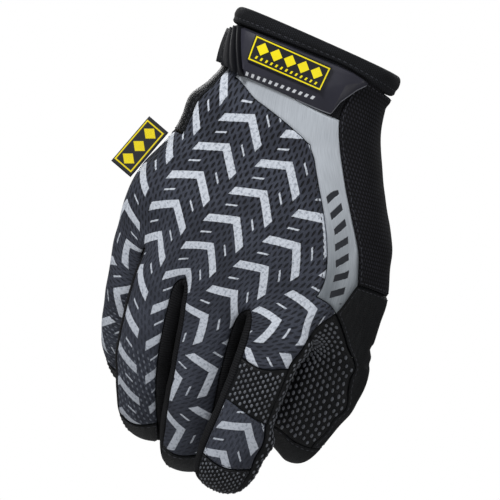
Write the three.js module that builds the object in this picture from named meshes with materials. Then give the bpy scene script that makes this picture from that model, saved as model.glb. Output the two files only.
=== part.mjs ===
// A right-hand work glove for a mechanic, held up by the wrist with the fingers hanging down.
// Millimetres. +Z runs out of the cuff along the forearm, -Y is the back of the hand, +X is the thumb
// side.
// The origin is the middle of the cuff's mouth.
//
// The glove is sewn from panels. One coarse cage of four-sided faces runs over the whole hand: a tube of
// twenty points round the palm, a tube of eight points for each finger, and seams that follow its lines. The
// cage is smoothed once, and each panel is its share of the smooth skin, thickened inwards to its own wall.
import * as THREE from 'three';

// Driving dimensions
const PALM_WIDTH = 98;
const PALM_LENGTH = 128;
const PALM_THICKNESS = 38;
const SEAM_GAP = 0.3;
const CUFF_WALL = 2.4;

const HEM_THICKNESS = 6.4;
const HEM_OFFSET = -0.6; // where the hem's middle stands from the cuff's outside
const HEM_POINTS = 9;
const HEM_ROUNDING = 2.7; // between an ellipse and a box

const CLOSURE_GAP = 0.6;
const TAB_EDGE = 1.5; // how far the tab's outer edge and its raised face stand off the cuff
const TAB_FACE = 3.6;
const BADGE_THICKNESS = 0.7;
// On the closure and the label, x is a share of PALM_WIDTH, y of PALM_THICKNESS, and heights are shares of
// PALM_LENGTH.
const BADGE = { left: -0.2449, right: 0.1071, top: -0.0734, bottom: -0.1672 };

const RIBS = { count: 4, pitch: 3.45, crest: 3.8, valley: 2.2 };
const STRAP_THICKNESS = 2;
const RIB_RAMP = 0.26; // the share of a rib's pitch that its crest takes each way
const STRAP_REACH = 66; // how far the strap runs round the little-finger side to the front
const STRAP_TOP = -0.0938;
const STRAP_BOTTOM = -0.207;
const STRAP_ROUND = 6; // the length over which its end narrows
const STRAP_TAPER = 0.45;
const STRAP_STEPS = 12;

const LABEL = { length: 26.5, reach: 11.5, layer: 0.6, fold: 1.9, tilt: 16.5 };
const LABEL_PLACE = { x: -0.4949, y: 0.1447, z: -0.6094 };
const FOLD_STEPS = 6;

// Sections of the palm, from the cuff down. z and x values are shares of PALM_LENGTH and PALM_WIDTH. The
// light inlay lies between stripLeft and stripRight, and zUlnar, zStrip and zRadial are the section's own
// depth at the little-finger end, at the inlay and at the thumb end. The last four are shares of
// PALM_THICKNESS: how far to the front the two ends lie, and how far back and front the section stands out
// between them.
const PALM_SECTIONS = [
  { zUlnar: -0.066, zStrip: -0.054, zRadial: -0.08, ulnar: -0.388, stripLeft: 0.15, stripRight: 0.235,
    radial: 0.42, ulnarDepth: 0, radialDepth: 0, back: 0.62, front: 0.6 },
  { zUlnar: -0.14, zStrip: -0.14, zRadial: -0.145, ulnar: -0.394, stripLeft: 0.145, stripRight: 0.225,
    radial: 0.438, ulnarDepth: 0, radialDepth: 0.02, back: 0.61, front: 0.6 },
  { zUlnar: -0.222, zStrip: -0.222, zRadial: -0.222, ulnar: -0.376, stripLeft: 0.14, stripRight: 0.21,
    radial: 0.46, ulnarDepth: 0.01, radialDepth: 0.05, back: 0.59, front: 0.61 },
  { zUlnar: -0.248, zStrip: -0.352, zRadial: -0.345, ulnar: -0.366, stripLeft: 0.145, stripRight: 0.32,
    radial: 0.556, ulnarDepth: 0.03, radialDepth: 0.14, back: 0.56, front: 0.63 },
  { zUlnar: -0.37, zStrip: -0.47, zRadial: -0.46, ulnar: -0.468, stripLeft: 0.26, stripRight: 0.42,
    radial: 0.656, ulnarDepth: 0.06, radialDepth: 0.25, back: 0.54, front: 0.66 },
  { zUlnar: -0.495, zStrip: -0.585, zRadial: -0.58, ulnar: -0.435, stripLeft: 0.375, stripRight: 0.535,
    radial: 0.768, ulnarDepth: 0.1, radialDepth: 0.38, back: 0.52, front: 0.68 },
  { zUlnar: -0.62, zStrip: -0.705, zRadial: -0.705, ulnar: -0.528, stripLeft: 0.475, stripRight: 0.59,
    radial: 0.856, ulnarDepth: 0.2, radialDepth: 0.5, back: 0.51, front: 0.66 },
  { zUlnar: -0.75, zStrip: -0.83, zRadial: -0.82, ulnar: -0.56, stripLeft: 0.55, stripRight: 0.578,
    radial: 0.68, ulnarDepth: 0.3, radialDepth: 0.2, back: 0.5, front: 0.58 },
];

// One row for each digit. x, y and z place its root as shares of the palm's width, thickness and length. base
// and pad are how much wider its root and its tip are than its middle. splay turns it towards the thumb, lean
// turns its back towards the little finger, and the three bends close it towards the palm, all in degrees.
// seams are the sections whose three back points move along the digit, in millimetres, so that a seam across
// it is an arc. drift is how far those points turn round the digit on the way to its tip, in degrees, so that
// a seam along it leans.
const DIGITS = {
  pinky: { x: -0.395, y: 0.45, z: -0.87, length: 88, width: 22, thickness: 18, base: 0.97, pad: 1,
    splay: 0, lean: 28, bends: [24, 18, 14], seams: { 5: [-1.5, 3, -1.5] } },
  ring: { x: -0.24, y: 0.05, z: -0.925, length: 98, width: 25.5, thickness: 20, base: 0.98, pad: 1,
    splay: 6, lean: 22, bends: [13, 22, 20], seams: { 5: [-1.5, 3, -1.5] } },
  middle: { x: 0.05, y: -0.02, z: -0.965, length: 94, width: 27.5, thickness: 21, base: 1.05, pad: 0.98,
    splay: 9.5, lean: 8, bends: [13, 16, 18], seams: { 5: [-1.5, 3, -1.5] } },
  index: { x: 0.368, y: -0.2, z: -0.955, length: 86, width: 27.5, thickness: 20, base: 1.05, pad: 1.1,
    splay: 3.2, lean: -2, bends: [7, 9, 9],
    seams: { 1: [-3, 3, -9], 3: [-8, -2, 3], 5: [-2, 4, -4] } },
  thumb: { x: 0.668, y: 0.64, z: -0.81, length: 80, width: 34, thickness: 25, base: 1.04, pad: 0.86,
    splay: 4.6, lean: -30, bends: [4, 14, 14], seams: {}, drift: [0, -30, -14] },
};

// Sections along a digit: along is a share of its length, width and thickness shares of its own.
const DIGIT_SECTIONS = [
  { along: 0.13, width: 1.0, thickness: 1.04 },
  { along: 0.26, width: 1.0, thickness: 1.0 },
  { along: 0.38, width: 0.99, thickness: 0.99 },
  { along: 0.51, width: 1.0, thickness: 1.0 },
  { along: 0.66, width: 1.0, thickness: 0.94 },
  { along: 0.81, width: 0.98, thickness: 0.88 },
  { along: 0.92, width: 0.86, thickness: 0.76 },
  { along: 0.98, width: 0.56, thickness: 0.5 },
];
const BASE_OVER = 0.45; // the share of a digit's length over which its root's width fades
const PAD_FROM = 0.5; // the share of a digit's length where its tip begins to widen
const PAD_OVER = 0.25;
const JOINTS_ALONG = [0, 0.42, 0.7]; // where a digit's three bends lie, as shares of its length
const BEND_SPREAD = 0.12; // the share of a digit's length that a bend takes
const PATH_STEPS = 200;
const DRIFT_FROM = 0.2; // the share of a digit's length where its seam begins to lean
const DRIFT_OVER = 0.3;

// Where the eight points of a digit's section stand round it, in degrees from the thumb side towards the
// back.
const RIM_ANGLES = [146, 90, 34, -4, -46, -90, -134, 184];
const CAGE_SWELL = 1.1; // smoothing draws an eight-sided cage in by this much

// Panels: wall thickness, and how the surface looks.
const PANELS = {
  back_panel: { wall: 1.8, color: 0x3b3e47, roughness: 0.85 },
  silver_inlay: { wall: 1.8, color: 0xa3aab0, roughness: 0.55 },
  side_panel: { wall: 1.6, color: 0x17171c, roughness: 0.9 },
  cuff_band: { wall: CUFF_WALL, color: 0x16181d, roughness: 0.85 },
  palm_panel: { wall: 1.6, color: 0x1b1c20, roughness: 0.8 },
  fourchette_pinky_ring: { wall: 1.4, color: 0x111114, roughness: 0.9 },
  fourchette_ring_middle: { wall: 1.4, color: 0x111114, roughness: 0.9 },
  fourchette_middle_index: { wall: 1.4, color: 0x111114, roughness: 0.9 },
  pinky_tip_patch: { wall: 1.6, color: 0x1d2226, roughness: 0.75 },
  ring_tip_patch: { wall: 1.6, color: 0x1d2226, roughness: 0.75 },
  middle_tip_patch: { wall: 1.6, color: 0x1d2226, roughness: 0.75 },
  index_knuckle_grip: { wall: 1.8, color: 0x1c1e22, roughness: 0.6 },
  index_back_panel: { wall: 1.8, color: 0x3b3e47, roughness: 0.85 },
  index_side_grip: { wall: 1.8, color: 0x1c1e22, roughness: 0.6 },
  index_tip_grip: { wall: 1.8, color: 0x1c1e22, roughness: 0.6 },
  thumb_grip_panel: { wall: 1.8, color: 0x1c1e22, roughness: 0.6 },
  thumb_back_panel: { wall: 1.6, color: 0x18191c, roughness: 0.8 },
  thumb_tip_patch: { wall: 1.6, color: 0x1b1c20, roughness: 0.75 },
};

// Small helpers on points
const V = (x, y, z) => new THREE.Vector3(x, y, z);
const mix = (a, b, t) => a + (b - a) * t;
const radians = THREE.MathUtils.degToRad;
const smooth = (t) => THREE.MathUtils.smoothstep(t, 0, 1);
const mean = (points) => points.reduce((sum, p) => sum.add(p), V(0, 0, 0)).divideScalar(points.length);
const acrossPalm = (share) => share * PALM_WIDTH;
const alongPalm = (share) => share * PALM_LENGTH;

// The cage
const points = [];
const faces = [];
const addPoint = (p) => points.push(p) - 1;
const addFace = (corners, panel) => faces.push({ corners, panel });

// A digit's own directions at a share of its length: towards the tip, towards the palm side, and across.
function digitFrame(digit, share) {
  const splay = radians(digit.splay);
  const lean = radians(digit.lean);
  let bend = 0;
  digit.bends.forEach((angle, i) => {
    const from = JOINTS_ALONG[i] - BEND_SPREAD / 2;
    bend += i === 0 ? angle : angle * smooth((share - from) / BEND_SPREAD);
  });
  bend = radians(bend);
  const down = V(Math.sin(splay), 0, -Math.cos(splay));
  const sideways = V(Math.cos(splay), 0, Math.sin(splay));
  const inwards = V(0, 1, 0);
  const palmar = inwards.clone().multiplyScalar(Math.cos(lean)).addScaledVector(sideways, Math.sin(lean));
  const across = sideways.clone().multiplyScalar(Math.cos(lean)).addScaledVector(inwards, -Math.sin(lean));
  const tip = down.clone().multiplyScalar(Math.cos(bend)).addScaledVector(palmar, Math.sin(bend));
  const belly = palmar.clone().multiplyScalar(Math.cos(bend)).addScaledVector(down, -Math.sin(bend));
  return { tip, belly, across };
}

const digitRoot = (digit) =>
  V(digit.x * PALM_WIDTH, digit.y * PALM_THICKNESS, digit.z * PALM_LENGTH);

function digitCentre(digit, share) {
  const centre = digitRoot(digit);
  const steps = Math.round(share * PATH_STEPS);
  for (let i = 0; i < steps; i++) {
    centre.addScaledVector(digitFrame(digit, (i + 0.5) / PATH_STEPS).tip, digit.length / PATH_STEPS);
  }
  return centre;
}

function digitRim(digit, share, widthShare, thicknessShare, shifts = []) {
  const { tip, belly, across } = digitFrame(digit, share);
  const centre = digitCentre(digit, share);
  const base = mix(digit.base, 1, smooth(share / BASE_OVER));
  const pad = mix(1, digit.pad, smooth((share - PAD_FROM) / PAD_OVER));
  const halfWidth = (digit.width * base * pad * widthShare * CAGE_SWELL) / 2;
  const halfThickness = (digit.thickness * thicknessShare * CAGE_SWELL) / 2;
  const drifted = smooth((share - DRIFT_FROM) / DRIFT_OVER);
  return RIM_ANGLES.map((angle, i) => {
    const turn = radians(angle + drifted * (digit.drift?.[i] ?? 0));
    return centre.clone()
      .addScaledVector(across, halfWidth * Math.cos(turn))
      .addScaledVector(belly, -halfThickness * Math.sin(turn))
      .addScaledVector(tip, shifts[i] ?? 0);
  });
}

const COLUMNS = 8; // faces across the back of the palm, two for each finger
const fingers = [DIGITS.pinky, DIGITS.ring, DIGITS.middle, DIGITS.index];
const rootRims = fingers.map((finger) => digitRim(finger, 0, 1, 1));

// The last ring of the palm: each finger's root, and the crotches that two fingers share.
function knuckleRing() {
  const back = [];
  const front = [];
  const crotch = [];
  rootRims.forEach((rim, i) => {
    const next = rootRims[i + 1];
    if (i === 0) {
      back.push(rim[0]);
      front.push(rim[6]);
    }
    back.push(rim[1], next ? mean([rim[2], next[0]]) : rim[2]);
    front.push(rim[5], next ? mean([rim[4], next[6]]) : rim[4]);
    if (next) crotch.push(mean([rim[3], next[7]]));
  });
  return { back, front, crotch, ulnar: rootRims[0][7], radial: rootRims[3][3] };
}

const knuckles = knuckleRing();
const LAST = PALM_SECTIONS.length;
const END_MARGIN = 0.05; // how far in from a section's ends its outer columns stand
const SIDE_SHARE = 0.62; // where the extra column of the thumb side stands between the inlay and the end
const SECTION_POWER = 2.4; // roundness of a palm section, between an ellipse and a box
const ULNAR_PULL = 3; // how fast the depth of a section's two ends fades towards its middle
const RADIAL_PULL = 7;
const SLANT = 1.7; // how late the sections turn down towards the inlay
const BLEND_POWER = 2.2; // how late the front's columns move over to the fingers

function palmRing(section, row) {
  const blend = ((row + 1) / (LAST + 1)) ** BLEND_POWER;
  const span = section.radial - section.ulnar;
  const shareOf = (x) => (x - section.ulnar) / span;
  const stripShare = shareOf(section.stripLeft);
  const at = (share, side) => {
    const z = share < stripShare
      ? mix(section.zUlnar, section.zStrip, (share / stripShare) ** SLANT)
      : mix(section.zStrip, section.zRadial, (share - stripShare) / (1 - stripShare));
    const rest = section.ulnarDepth * (1 - share) ** ULNAR_PULL + section.radialDepth * share ** RADIAL_PULL;
    const stand = (1 - Math.abs(2 * share - 1) ** SECTION_POWER) ** (1 / SECTION_POWER);
    const rise = side === 'back' ? -section.back : section.front;
    const x = section.ulnar + span * share;
    return V(x * PALM_WIDTH, (rest + rise * stand) * PALM_THICKNESS, z * PALM_LENGTH);
  };
  const back = [];
  const front = [];
  for (let column = 0; column <= COLUMNS; column++) {
    const even = END_MARGIN + (1 - 2 * END_MARGIN) * column / COLUMNS;
    const settle = (share, knuckle) => {
      const settled = shareOf(knuckle.x / PALM_WIDTH);
      return mix(share, THREE.MathUtils.clamp(settled, END_MARGIN, 1 - END_MARGIN), blend);
    };
    front.push(at(settle(even, knuckles.front[column]), 'front'));
    const beside = mix(END_MARGIN, stripShare, column / (COLUMNS - 1));
    if (column === COLUMNS) back.push(at(shareOf(section.stripRight), 'back'));
    else if (column === COLUMNS - 1) back.push(at(stripShare, 'back'));
    else back.push(at(settle(beside, knuckles.back[column]), 'back'));
  }
  return {
    back,
    front,
    ulnar: at(0, 'back'),
    radial: at(1, 'back'),
    side: at(mix(shareOf(section.stripRight), 1, SIDE_SHARE), 'back'),
  };
}

// Rings as point numbers, in order round the hand: back, thumb side, front, little-finger side. The thumb's
// root opens in the last two rows of the thumb side, where one point is left out.
const THUMB_ROWS = 2;
const THUMB_TOP = LAST - THUMB_ROWS;
const store = (ring, row) => ({
  back: ring.back.map(addPoint),
  front: ring.front.map(addPoint),
  ulnar: addPoint(ring.ulnar),
  side: row < THUMB_TOP ? addPoint(ring.side) : null,
  radial: row === THUMB_TOP + 1 ? null : addPoint(ring.radial),
});
const rings = [...PALM_SECTIONS.map(palmRing), knuckles].map(store);
const crotches = knuckles.crotch.map(addPoint);

const CUFF_ROWS = 2; // rows of the cuff band
const INLAY_ROW = 2; // the row of the inlay's thin end
const HEEL_ROWS = 5; // rows where the front leather shows past the little-finger side
function backPanel(row, column) {
  if (row < CUFF_ROWS) return 'cuff_band';
  if (column === COLUMNS - 1) return row < LAST - 1 ? 'silver_inlay' : 'back_panel';
  return row === INLAY_ROW && column > 0 ? 'silver_inlay' : 'back_panel';
}

for (let row = 0; row < LAST; row++) {
  const up = rings[row];
  const low = rings[row + 1];
  for (let column = 0; column < COLUMNS; column++) {
    addFace([up.back[column], low.back[column], low.back[column + 1], up.back[column + 1]],
      backPanel(row, column));
    addFace([up.front[column + 1], low.front[column + 1], low.front[column], up.front[column]],
      'palm_panel');
  }
  addFace([up.front[0], low.front[0], low.ulnar, up.ulnar], 'palm_panel');
  addFace([up.ulnar, low.ulnar, low.back[0], up.back[0]],
    row < CUFF_ROWS ? 'cuff_band' : row < HEEL_ROWS ? 'palm_panel' : 'back_panel');
  if (row >= THUMB_TOP) continue;
  if (low.side) {
    addFace([up.back[COLUMNS], low.back[COLUMNS], low.side, up.side], 'side_panel');
    addFace([up.side, low.side, low.radial, up.radial], 'side_panel');
  } else {
    addFace([up.back[COLUMNS], low.back[COLUMNS], low.radial, up.radial, up.side], 'side_panel');
  }
  addFace([up.radial, low.radial, low.front[COLUMNS], up.front[COLUMNS]], 'side_panel');
}

// A digit: tubes between its sections, and a cap of four faces round one point at the tip.
function addDigit(digit, rootRim, panelOf, from = 0) {
  let rim = rootRim;
  const sections = DIGIT_SECTIONS.slice(from);
  sections.forEach((section, row) => {
    const shifts = digit.seams[row + from];
    const next = digitRim(digit, section.along, section.width, section.thickness, shifts).map(addPoint);
    rim.forEach((_, i) => {
      const j = (i + 1) % rim.length;
      addFace([rim[i], next[i], next[j], rim[j]], panelOf(row, i));
    });
    rim = next;
  });
  const tip = addPoint(digitCentre(digit, 1).addScaledVector(digitFrame(digit, 1).belly, 0));
  for (let i = 0; i < rim.length; i += 2) {
    addFace([rim[i], tip, rim[(i + 2) % rim.length], rim[i + 1]], panelOf(sections.length, i));
  }
}

const isBack = (i) => i < 2;
const isRadial = (i) => i === 2 || i === 3;
const isUlnar = (i) => i > 5;
const TIP_ROW = 6; // the fingertip patches start at this row
const BAND_ROWS = [2, 4]; // the rows of the forefinger's knuckle band
const knuckleRim = (i) => {
  const ring = rings[LAST];
  const left = i === 0 ? ring.ulnar : crotches[i - 1];
  const right = i === 3 ? ring.radial : crotches[i];
  return [ring.back[2 * i], ring.back[2 * i + 1], ring.back[2 * i + 2], right,
    ring.front[2 * i + 2], ring.front[2 * i + 1], ring.front[2 * i], left];
};

addDigit(DIGITS.pinky, knuckleRim(0), (row, i) => {
  if (isBack(i)) return row >= TIP_ROW ? 'pinky_tip_patch' : 'back_panel';
  if (isRadial(i)) return 'fourchette_pinky_ring';
  return i === 7 && row < TIP_ROW ? 'back_panel' : 'palm_panel';
});
addDigit(DIGITS.ring, knuckleRim(1), (row, i) => {
  if (isBack(i)) return row >= TIP_ROW ? 'ring_tip_patch' : 'back_panel';
  if (isRadial(i)) return 'fourchette_ring_middle';
  return isUlnar(i) ? 'fourchette_pinky_ring' : 'palm_panel';
});
addDigit(DIGITS.middle, knuckleRim(2), (row, i) => {
  if (isBack(i)) return row >= TIP_ROW ? 'middle_tip_patch' : 'back_panel';
  if (isRadial(i)) return 'fourchette_middle_index';
  return isUlnar(i) ? 'fourchette_ring_middle' : 'palm_panel';
});
addDigit(DIGITS.index, knuckleRim(3), (row, i) => {
  if (isUlnar(i)) return 'fourchette_middle_index';
  if (!isBack(i)) return isRadial(i) ? 'index_side_grip' : 'palm_panel';
  if (row >= TIP_ROW) return 'index_tip_grip';
  if (row < BAND_ROWS[0]) return 'back_panel';
  return row < BAND_ROWS[1] ? 'index_knuckle_grip' : 'index_back_panel';
});

const top = rings[THUMB_TOP];
const middleRow = rings[THUMB_TOP + 1];
const web = rings[LAST];
addDigit(DIGITS.thumb, [web.back[COLUMNS], middleRow.back[COLUMNS], top.back[COLUMNS], top.radial,
  top.front[COLUMNS], middleRow.front[COLUMNS], web.front[COLUMNS], web.radial], (row, i) => {
  if (row >= TIP_ROW - 1) return 'thumb_tip_patch';
  if (isRadial(i) || i === 1) return 'thumb_back_panel';
  return 'thumb_grip_panel';
}, 1);

// One step of Catmull and Clark's smoothing. A child face keeps its parent's panel.
function smoothCage(cage) {
  const edges = new Map();
  const edgeKey = (a, b) => (a < b ? `${a} ${b}` : `${b} ${a}`);
  const facePoints = cage.faces.map((face) => mean(face.corners.map((i) => cage.points[i].clone())));
  const touching = cage.points.map(() => ({ faces: [], edges: new Set() }));
  cage.faces.forEach((face, f) => face.corners.forEach((a, k) => {
    const b = face.corners[(k + 1) % face.corners.length];
    const key = edgeKey(a, b);
    if (!edges.has(key)) edges.set(key, { ends: [a, b], faces: [] });
    edges.get(key).faces.push(f);
    touching[a].faces.push(f);
    touching[a].edges.add(key);
    touching[b].edges.add(key);
  }));
  const made = [];
  const midpoint = (edge) => mean(edge.ends.map((i) => cage.points[i].clone()));
  cage.points.forEach((point, i) => {
    const around = [...touching[i].edges].map((key) => edges.get(key));
    const open = around.filter((edge) => edge.faces.length === 1);
    if (open.length) {
      made.push(mean(open.map(midpoint)).multiplyScalar(0.5).addScaledVector(point, 0.5));
      return;
    }
    const n = around.length;
    const faceMean = mean(touching[i].faces.map((f) => facePoints[f].clone()));
    const edgeMean = mean(around.map(midpoint));
    made.push(faceMean.addScaledVector(edgeMean, 2).addScaledVector(point, n - 3).divideScalar(n));
  });
  for (const edge of edges.values()) {
    edge.point = made.length;
    const ends = edge.ends.map((i) => cage.points[i].clone());
    made.push(edge.faces.length === 1 ? mean(ends)
      : mean([...ends, ...edge.faces.map((f) => facePoints[f].clone())]));
  }
  const children = [];
  cage.faces.forEach((face, f) => {
    const centre = made.push(facePoints[f]) - 1;
    face.corners.forEach((a, k) => {
      const b = face.corners[(k + 1) % face.corners.length];
      const before = face.corners[(k + face.corners.length - 1) % face.corners.length];
      children.push({
        corners: [a, edges.get(edgeKey(a, b)).point, centre, edges.get(edgeKey(before, a)).point],
        panel: face.panel,
      });
    });
  });
  return { points: made, faces: children };
}

const skin = smoothCage({ points, faces });

const faceNormal = (face) => {
  const [a, b, c, d] = face.corners.map((i) => skin.points[i]);
  return c.clone().sub(a).cross(d.clone().sub(b));
};
const normals = skin.points.map(() => V(0, 0, 0));
skin.faces.forEach((face) => face.corners.forEach((i) => normals[i].add(faceNormal(face))));
normals.forEach((n) => n.normalize());

// Where the skin turns sharply, as between two fingers, the wall is thinner so that its inside can't cross
// itself.
const THINNEST = 0.25;
const wallShare = skin.points.map(() => 1);
skin.faces.forEach((face) => {
  const flat = faceNormal(face).normalize();
  face.corners.forEach((i) => {
    wallShare[i] = Math.max(THINNEST, Math.min(wallShare[i], flat.dot(normals[i]) ** 6));
  });
});

function geometryOf(positions, triangles) {
  const geometry = new THREE.BufferGeometry();
  const coordinates = positions.flatMap((p) => p.toArray());
  geometry.setAttribute('position', new THREE.Float32BufferAttribute(coordinates, 3));
  geometry.setIndex(triangles.flat());
  return geometry;
}

// A patch of the skin as a closed solid: the skin outside, its offset inside, and a rim along its border,
// which stands half a seam gap back from the neighbouring panel.
const MITRE_LIMIT = 2;
function panelGeometry(panelFaces, wall) {
  const border = new Map();
  panelFaces.forEach((face) => face.corners.forEach((a, k) => {
    const b = face.corners[(k + 1) % 4];
    if (border.has(`${b} ${a}`)) border.delete(`${b} ${a}`);
    else border.set(`${a} ${b}`, { a, b });
  }));
  const inset = new Map();
  for (const { a, b } of border.values()) {
    const along = skin.points[b].clone().sub(skin.points[a]).normalize();
    for (const i of [a, b]) {
      const inwards = normals[i].clone().cross(along).normalize();
      inset.set(i, [...(inset.get(i) ?? []), inwards]);
    }
  }
  const mitre = ([first, second]) => {
    const spread = Math.max(1 + first.dot(second), 1 / MITRE_LIMIT);
    return first.clone().add(second).divideScalar(spread).clampLength(0, MITRE_LIMIT);
  };
  const numbers = new Map();
  const positions = [];
  panelFaces.forEach((face) => face.corners.forEach((i) => {
    if (numbers.has(i)) return;
    const outside = skin.points[i].clone();
    if (inset.has(i)) outside.addScaledVector(mitre(inset.get(i)), SEAM_GAP / 2);
    numbers.set(i, positions.length);
    positions.push(outside, outside.clone().addScaledVector(normals[i], -wall * wallShare[i]));
  }));
  const outer = (i) => numbers.get(i);
  const inner = (i) => numbers.get(i) + 1;
  const triangles = [];
  panelFaces.forEach(({ corners: [a, b, c, d] }) => {
    triangles.push([outer(a), outer(b), outer(c)], [outer(a), outer(c), outer(d)]);
    triangles.push([inner(a), inner(c), inner(b)], [inner(a), inner(d), inner(c)]);
  });
  for (const { a, b } of border.values()) {
    triangles.push([outer(b), outer(a), inner(a)], [outer(b), inner(a), inner(b)]);
  }
  return geometryOf(positions, triangles);
}

// The cuff as a surface: where the ray from the wrist's middle, at an angle round it and at a height z, leaves
// the skin. Angles run from the little-finger side over the back to the thumb side.
const WRIST_AXIS = V(2, -0.5, 0);
const isNearCuff = (i) => skin.points[i].z > -0.3 * PALM_LENGTH;
const cuffFaces = skin.faces.filter((face) => face.corners.some(isNearCuff));
const ray = new THREE.Ray();
const hitPoint = V(0, 0, 0);
function cuffAt(angle, z) {
  const turn = radians(180 + angle);
  ray.origin.set(WRIST_AXIS.x, WRIST_AXIS.y, z);
  ray.direction.set(Math.cos(turn), Math.sin(turn), 0);
  for (const { corners } of cuffFaces) {
    const [a, b, c, d] = corners.map((i) => skin.points[i]);
    for (const [p, q, r, ids] of [[a, b, c, [0, 1, 2]], [a, c, d, [0, 2, 3]]]) {
      if (!ray.intersectTriangle(p, q, r, false, hitPoint)) continue;
      const bary = THREE.Triangle.getBarycoord(hitPoint, p, q, r, V(0, 0, 0));
      const normal = V(0, 0, 0);
      ids.forEach((k, n) => normal.addScaledVector(normals[corners[k]], bary.getComponent(n)));
      return { point: hitPoint.clone(), normal: normal.normalize() };
    }
  }
  throw new Error(`no cuff at ${angle} degrees and ${z} mm`);
}

// Girth: millimetres round the cuff at mid height, growing towards the thumb.
const GIRTH_LEVEL = -0.1406;
const GIRTH_STEP = 3; // degrees
const girthTable = [];
for (let angle = -180; angle <= 180; angle += GIRTH_STEP) {
  const { point } = cuffAt(angle, alongPalm(GIRTH_LEVEL));
  const last = girthTable[girthTable.length - 1];
  girthTable.push({ angle, x: point.x, point, girth: last ? last.girth + point.distanceTo(last.point) : 0 });
}
const lookUp = (from, to, value) => {
  const k = Math.max(1, girthTable.findIndex((row) => row[from] >= value));
  const [low, high] = [girthTable[k - 1], girthTable[k]];
  return mix(low[to], high[to], (value - low[from]) / (high[from] - low[from]));
};
const girthOfX = (x) => {
  const over = girthTable.filter((row) => row.angle >= 0);
  const k = over.findIndex((row) => row.x >= x);
  return mix(over[k - 1].girth, over[k].girth, (x - over[k - 1].x) / (over[k].x - over[k - 1].x));
};
function onCuff(girth, z, stand) {
  const { point, normal } = cuffAt(lookUp('girth', 'angle', girth), z);
  return point.addScaledVector(normal, stand);
}

// A closed solid through a row of sections with equal numbers of points, either a closed loop or capped at its
// ends. cap lists the triangles that close a section.
function loft(sections, cap = null) {
  const size = sections[0].length;
  const count = sections.length;
  const triangles = [];
  for (let s = 0; s < (cap ? count - 1 : count); s++) {
    const next = (s + 1) % count;
    for (let i = 0; i < size; i++) {
      const j = (i + 1) % size;
      const [a, b, c, d] = [s * size + i, s * size + j, next * size + j, next * size + i];
      triangles.push([a, b, c], [a, c, d]);
    }
  }
  const last = (count - 1) * size;
  (cap ?? []).forEach(([a, b, c]) => triangles.push([a, c, b], [last + a, last + b, last + c]));
  const positions = sections.flat();
  const volume = triangles.reduce((sum, [a, b, c]) =>
    sum + positions[a].dot(V(0, 0, 0).crossVectors(positions[b], positions[c])), 0);
  return geometryOf(positions, volume > 0 ? triangles : triangles.map(([a, b, c]) => [a, c, b]));
}

// The rolled hem round the mouth. Its section is a rounded box that stands on the skin's upper border.
function mouthLoop() {
  const edges = new Map();
  skin.faces.forEach((face) => face.corners.forEach((a, k) => {
    const b = face.corners[(k + 1) % 4];
    if (edges.has(`${b} ${a}`)) edges.delete(`${b} ${a}`);
    else edges.set(`${a} ${b}`, [a, b]);
  }));
  const after = new Map([...edges.values()]);
  const loop = [[...after.keys()][0]];
  while (after.get(loop[loop.length - 1]) !== loop[0]) loop.push(after.get(loop[loop.length - 1]));
  return loop;
}

function hemGeometry() {
  return loft(mouthLoop().map((i) => {
    const rim = skin.points[i];
    const out = normals[i].clone().setZ(0).normalize();
    const bottom = rim.z + SEAM_GAP;
    return Array.from({ length: HEM_POINTS }, (_, k) => {
      const turn = (2 * Math.PI * k) / HEM_POINTS;
      const squared = (t) => Math.sign(t) * Math.abs(t) ** (2 / HEM_ROUNDING);
      const across = HEM_OFFSET + (HEM_THICKNESS / 2) * squared(Math.cos(turn));
      const z = bottom / 2 - (bottom / 2) * squared(Math.sin(turn));
      return V(rim.x, rim.y, z).addScaledVector(out, across);
    });
  }));
}

// The moulded closure tab: a plate that bends round the cuff, with a raised face and sloping edges. Each row
// is one section from the little-finger end to the thumb end: where it stands across the back, and the heights
// of its two edges and of the raised face. skew slants the first section.
const TAB_ROWS = [
  { x: -0.2816, edgeTop: -0.0695, faceTop: -0.0773, faceBottom: -0.2, edgeBottom: -0.2234 },
  { x: -0.2296, edgeTop: -0.068, faceTop: -0.075, faceBottom: -0.1977, edgeBottom: -0.2234 },
  { x: -0.1735, edgeTop: -0.0664, faceTop: -0.0727, faceBottom: -0.1945, edgeBottom: -0.2234 },
  { x: -0.1122, edgeTop: -0.0648, faceTop: -0.0703, faceBottom: -0.1898, edgeBottom: -0.2234 },
  { x: -0.0408, edgeTop: -0.0633, faceTop: -0.068, faceBottom: -0.1844, edgeBottom: -0.2234 },
  { x: 0.0408, edgeTop: -0.0609, faceTop: -0.0648, faceBottom: -0.1766, edgeBottom: -0.2234 },
  { x: 0.1092, edgeTop: -0.0594, faceTop: -0.0633, faceBottom: -0.168, edgeBottom: -0.2234 },
  { x: 0.15, edgeTop: -0.0594, faceTop: -0.0625, faceBottom: -0.1391, edgeBottom: -0.2227 },
  { x: 0.1908, edgeTop: -0.0602, faceTop: -0.0633, faceBottom: -0.1109, edgeBottom: -0.2203 },
  { x: 0.2061, edgeTop: -0.0609, faceTop: -0.0641, faceBottom: -0.1, edgeBottom: -0.1688 },
  { x: 0.249, edgeTop: -0.0656, faceTop: -0.0688, faceBottom: -0.0781, edgeBottom: -0.1094 },
  { x: 0.2816, edgeTop: -0.0719, faceTop: -0.0734, faceBottom: -0.075, edgeBottom: -0.0781 },
];
const TAB_SKEW = 4.4; // how far the first section leans

// Where a line that leans over a section's height meets a height z, in millimetres of girth.
const leaning = (skew, top, bottom, z) => (-skew * (2 * z - top - bottom)) / (top - bottom);
const middle = (a, b) => (a + b) / 2;

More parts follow.
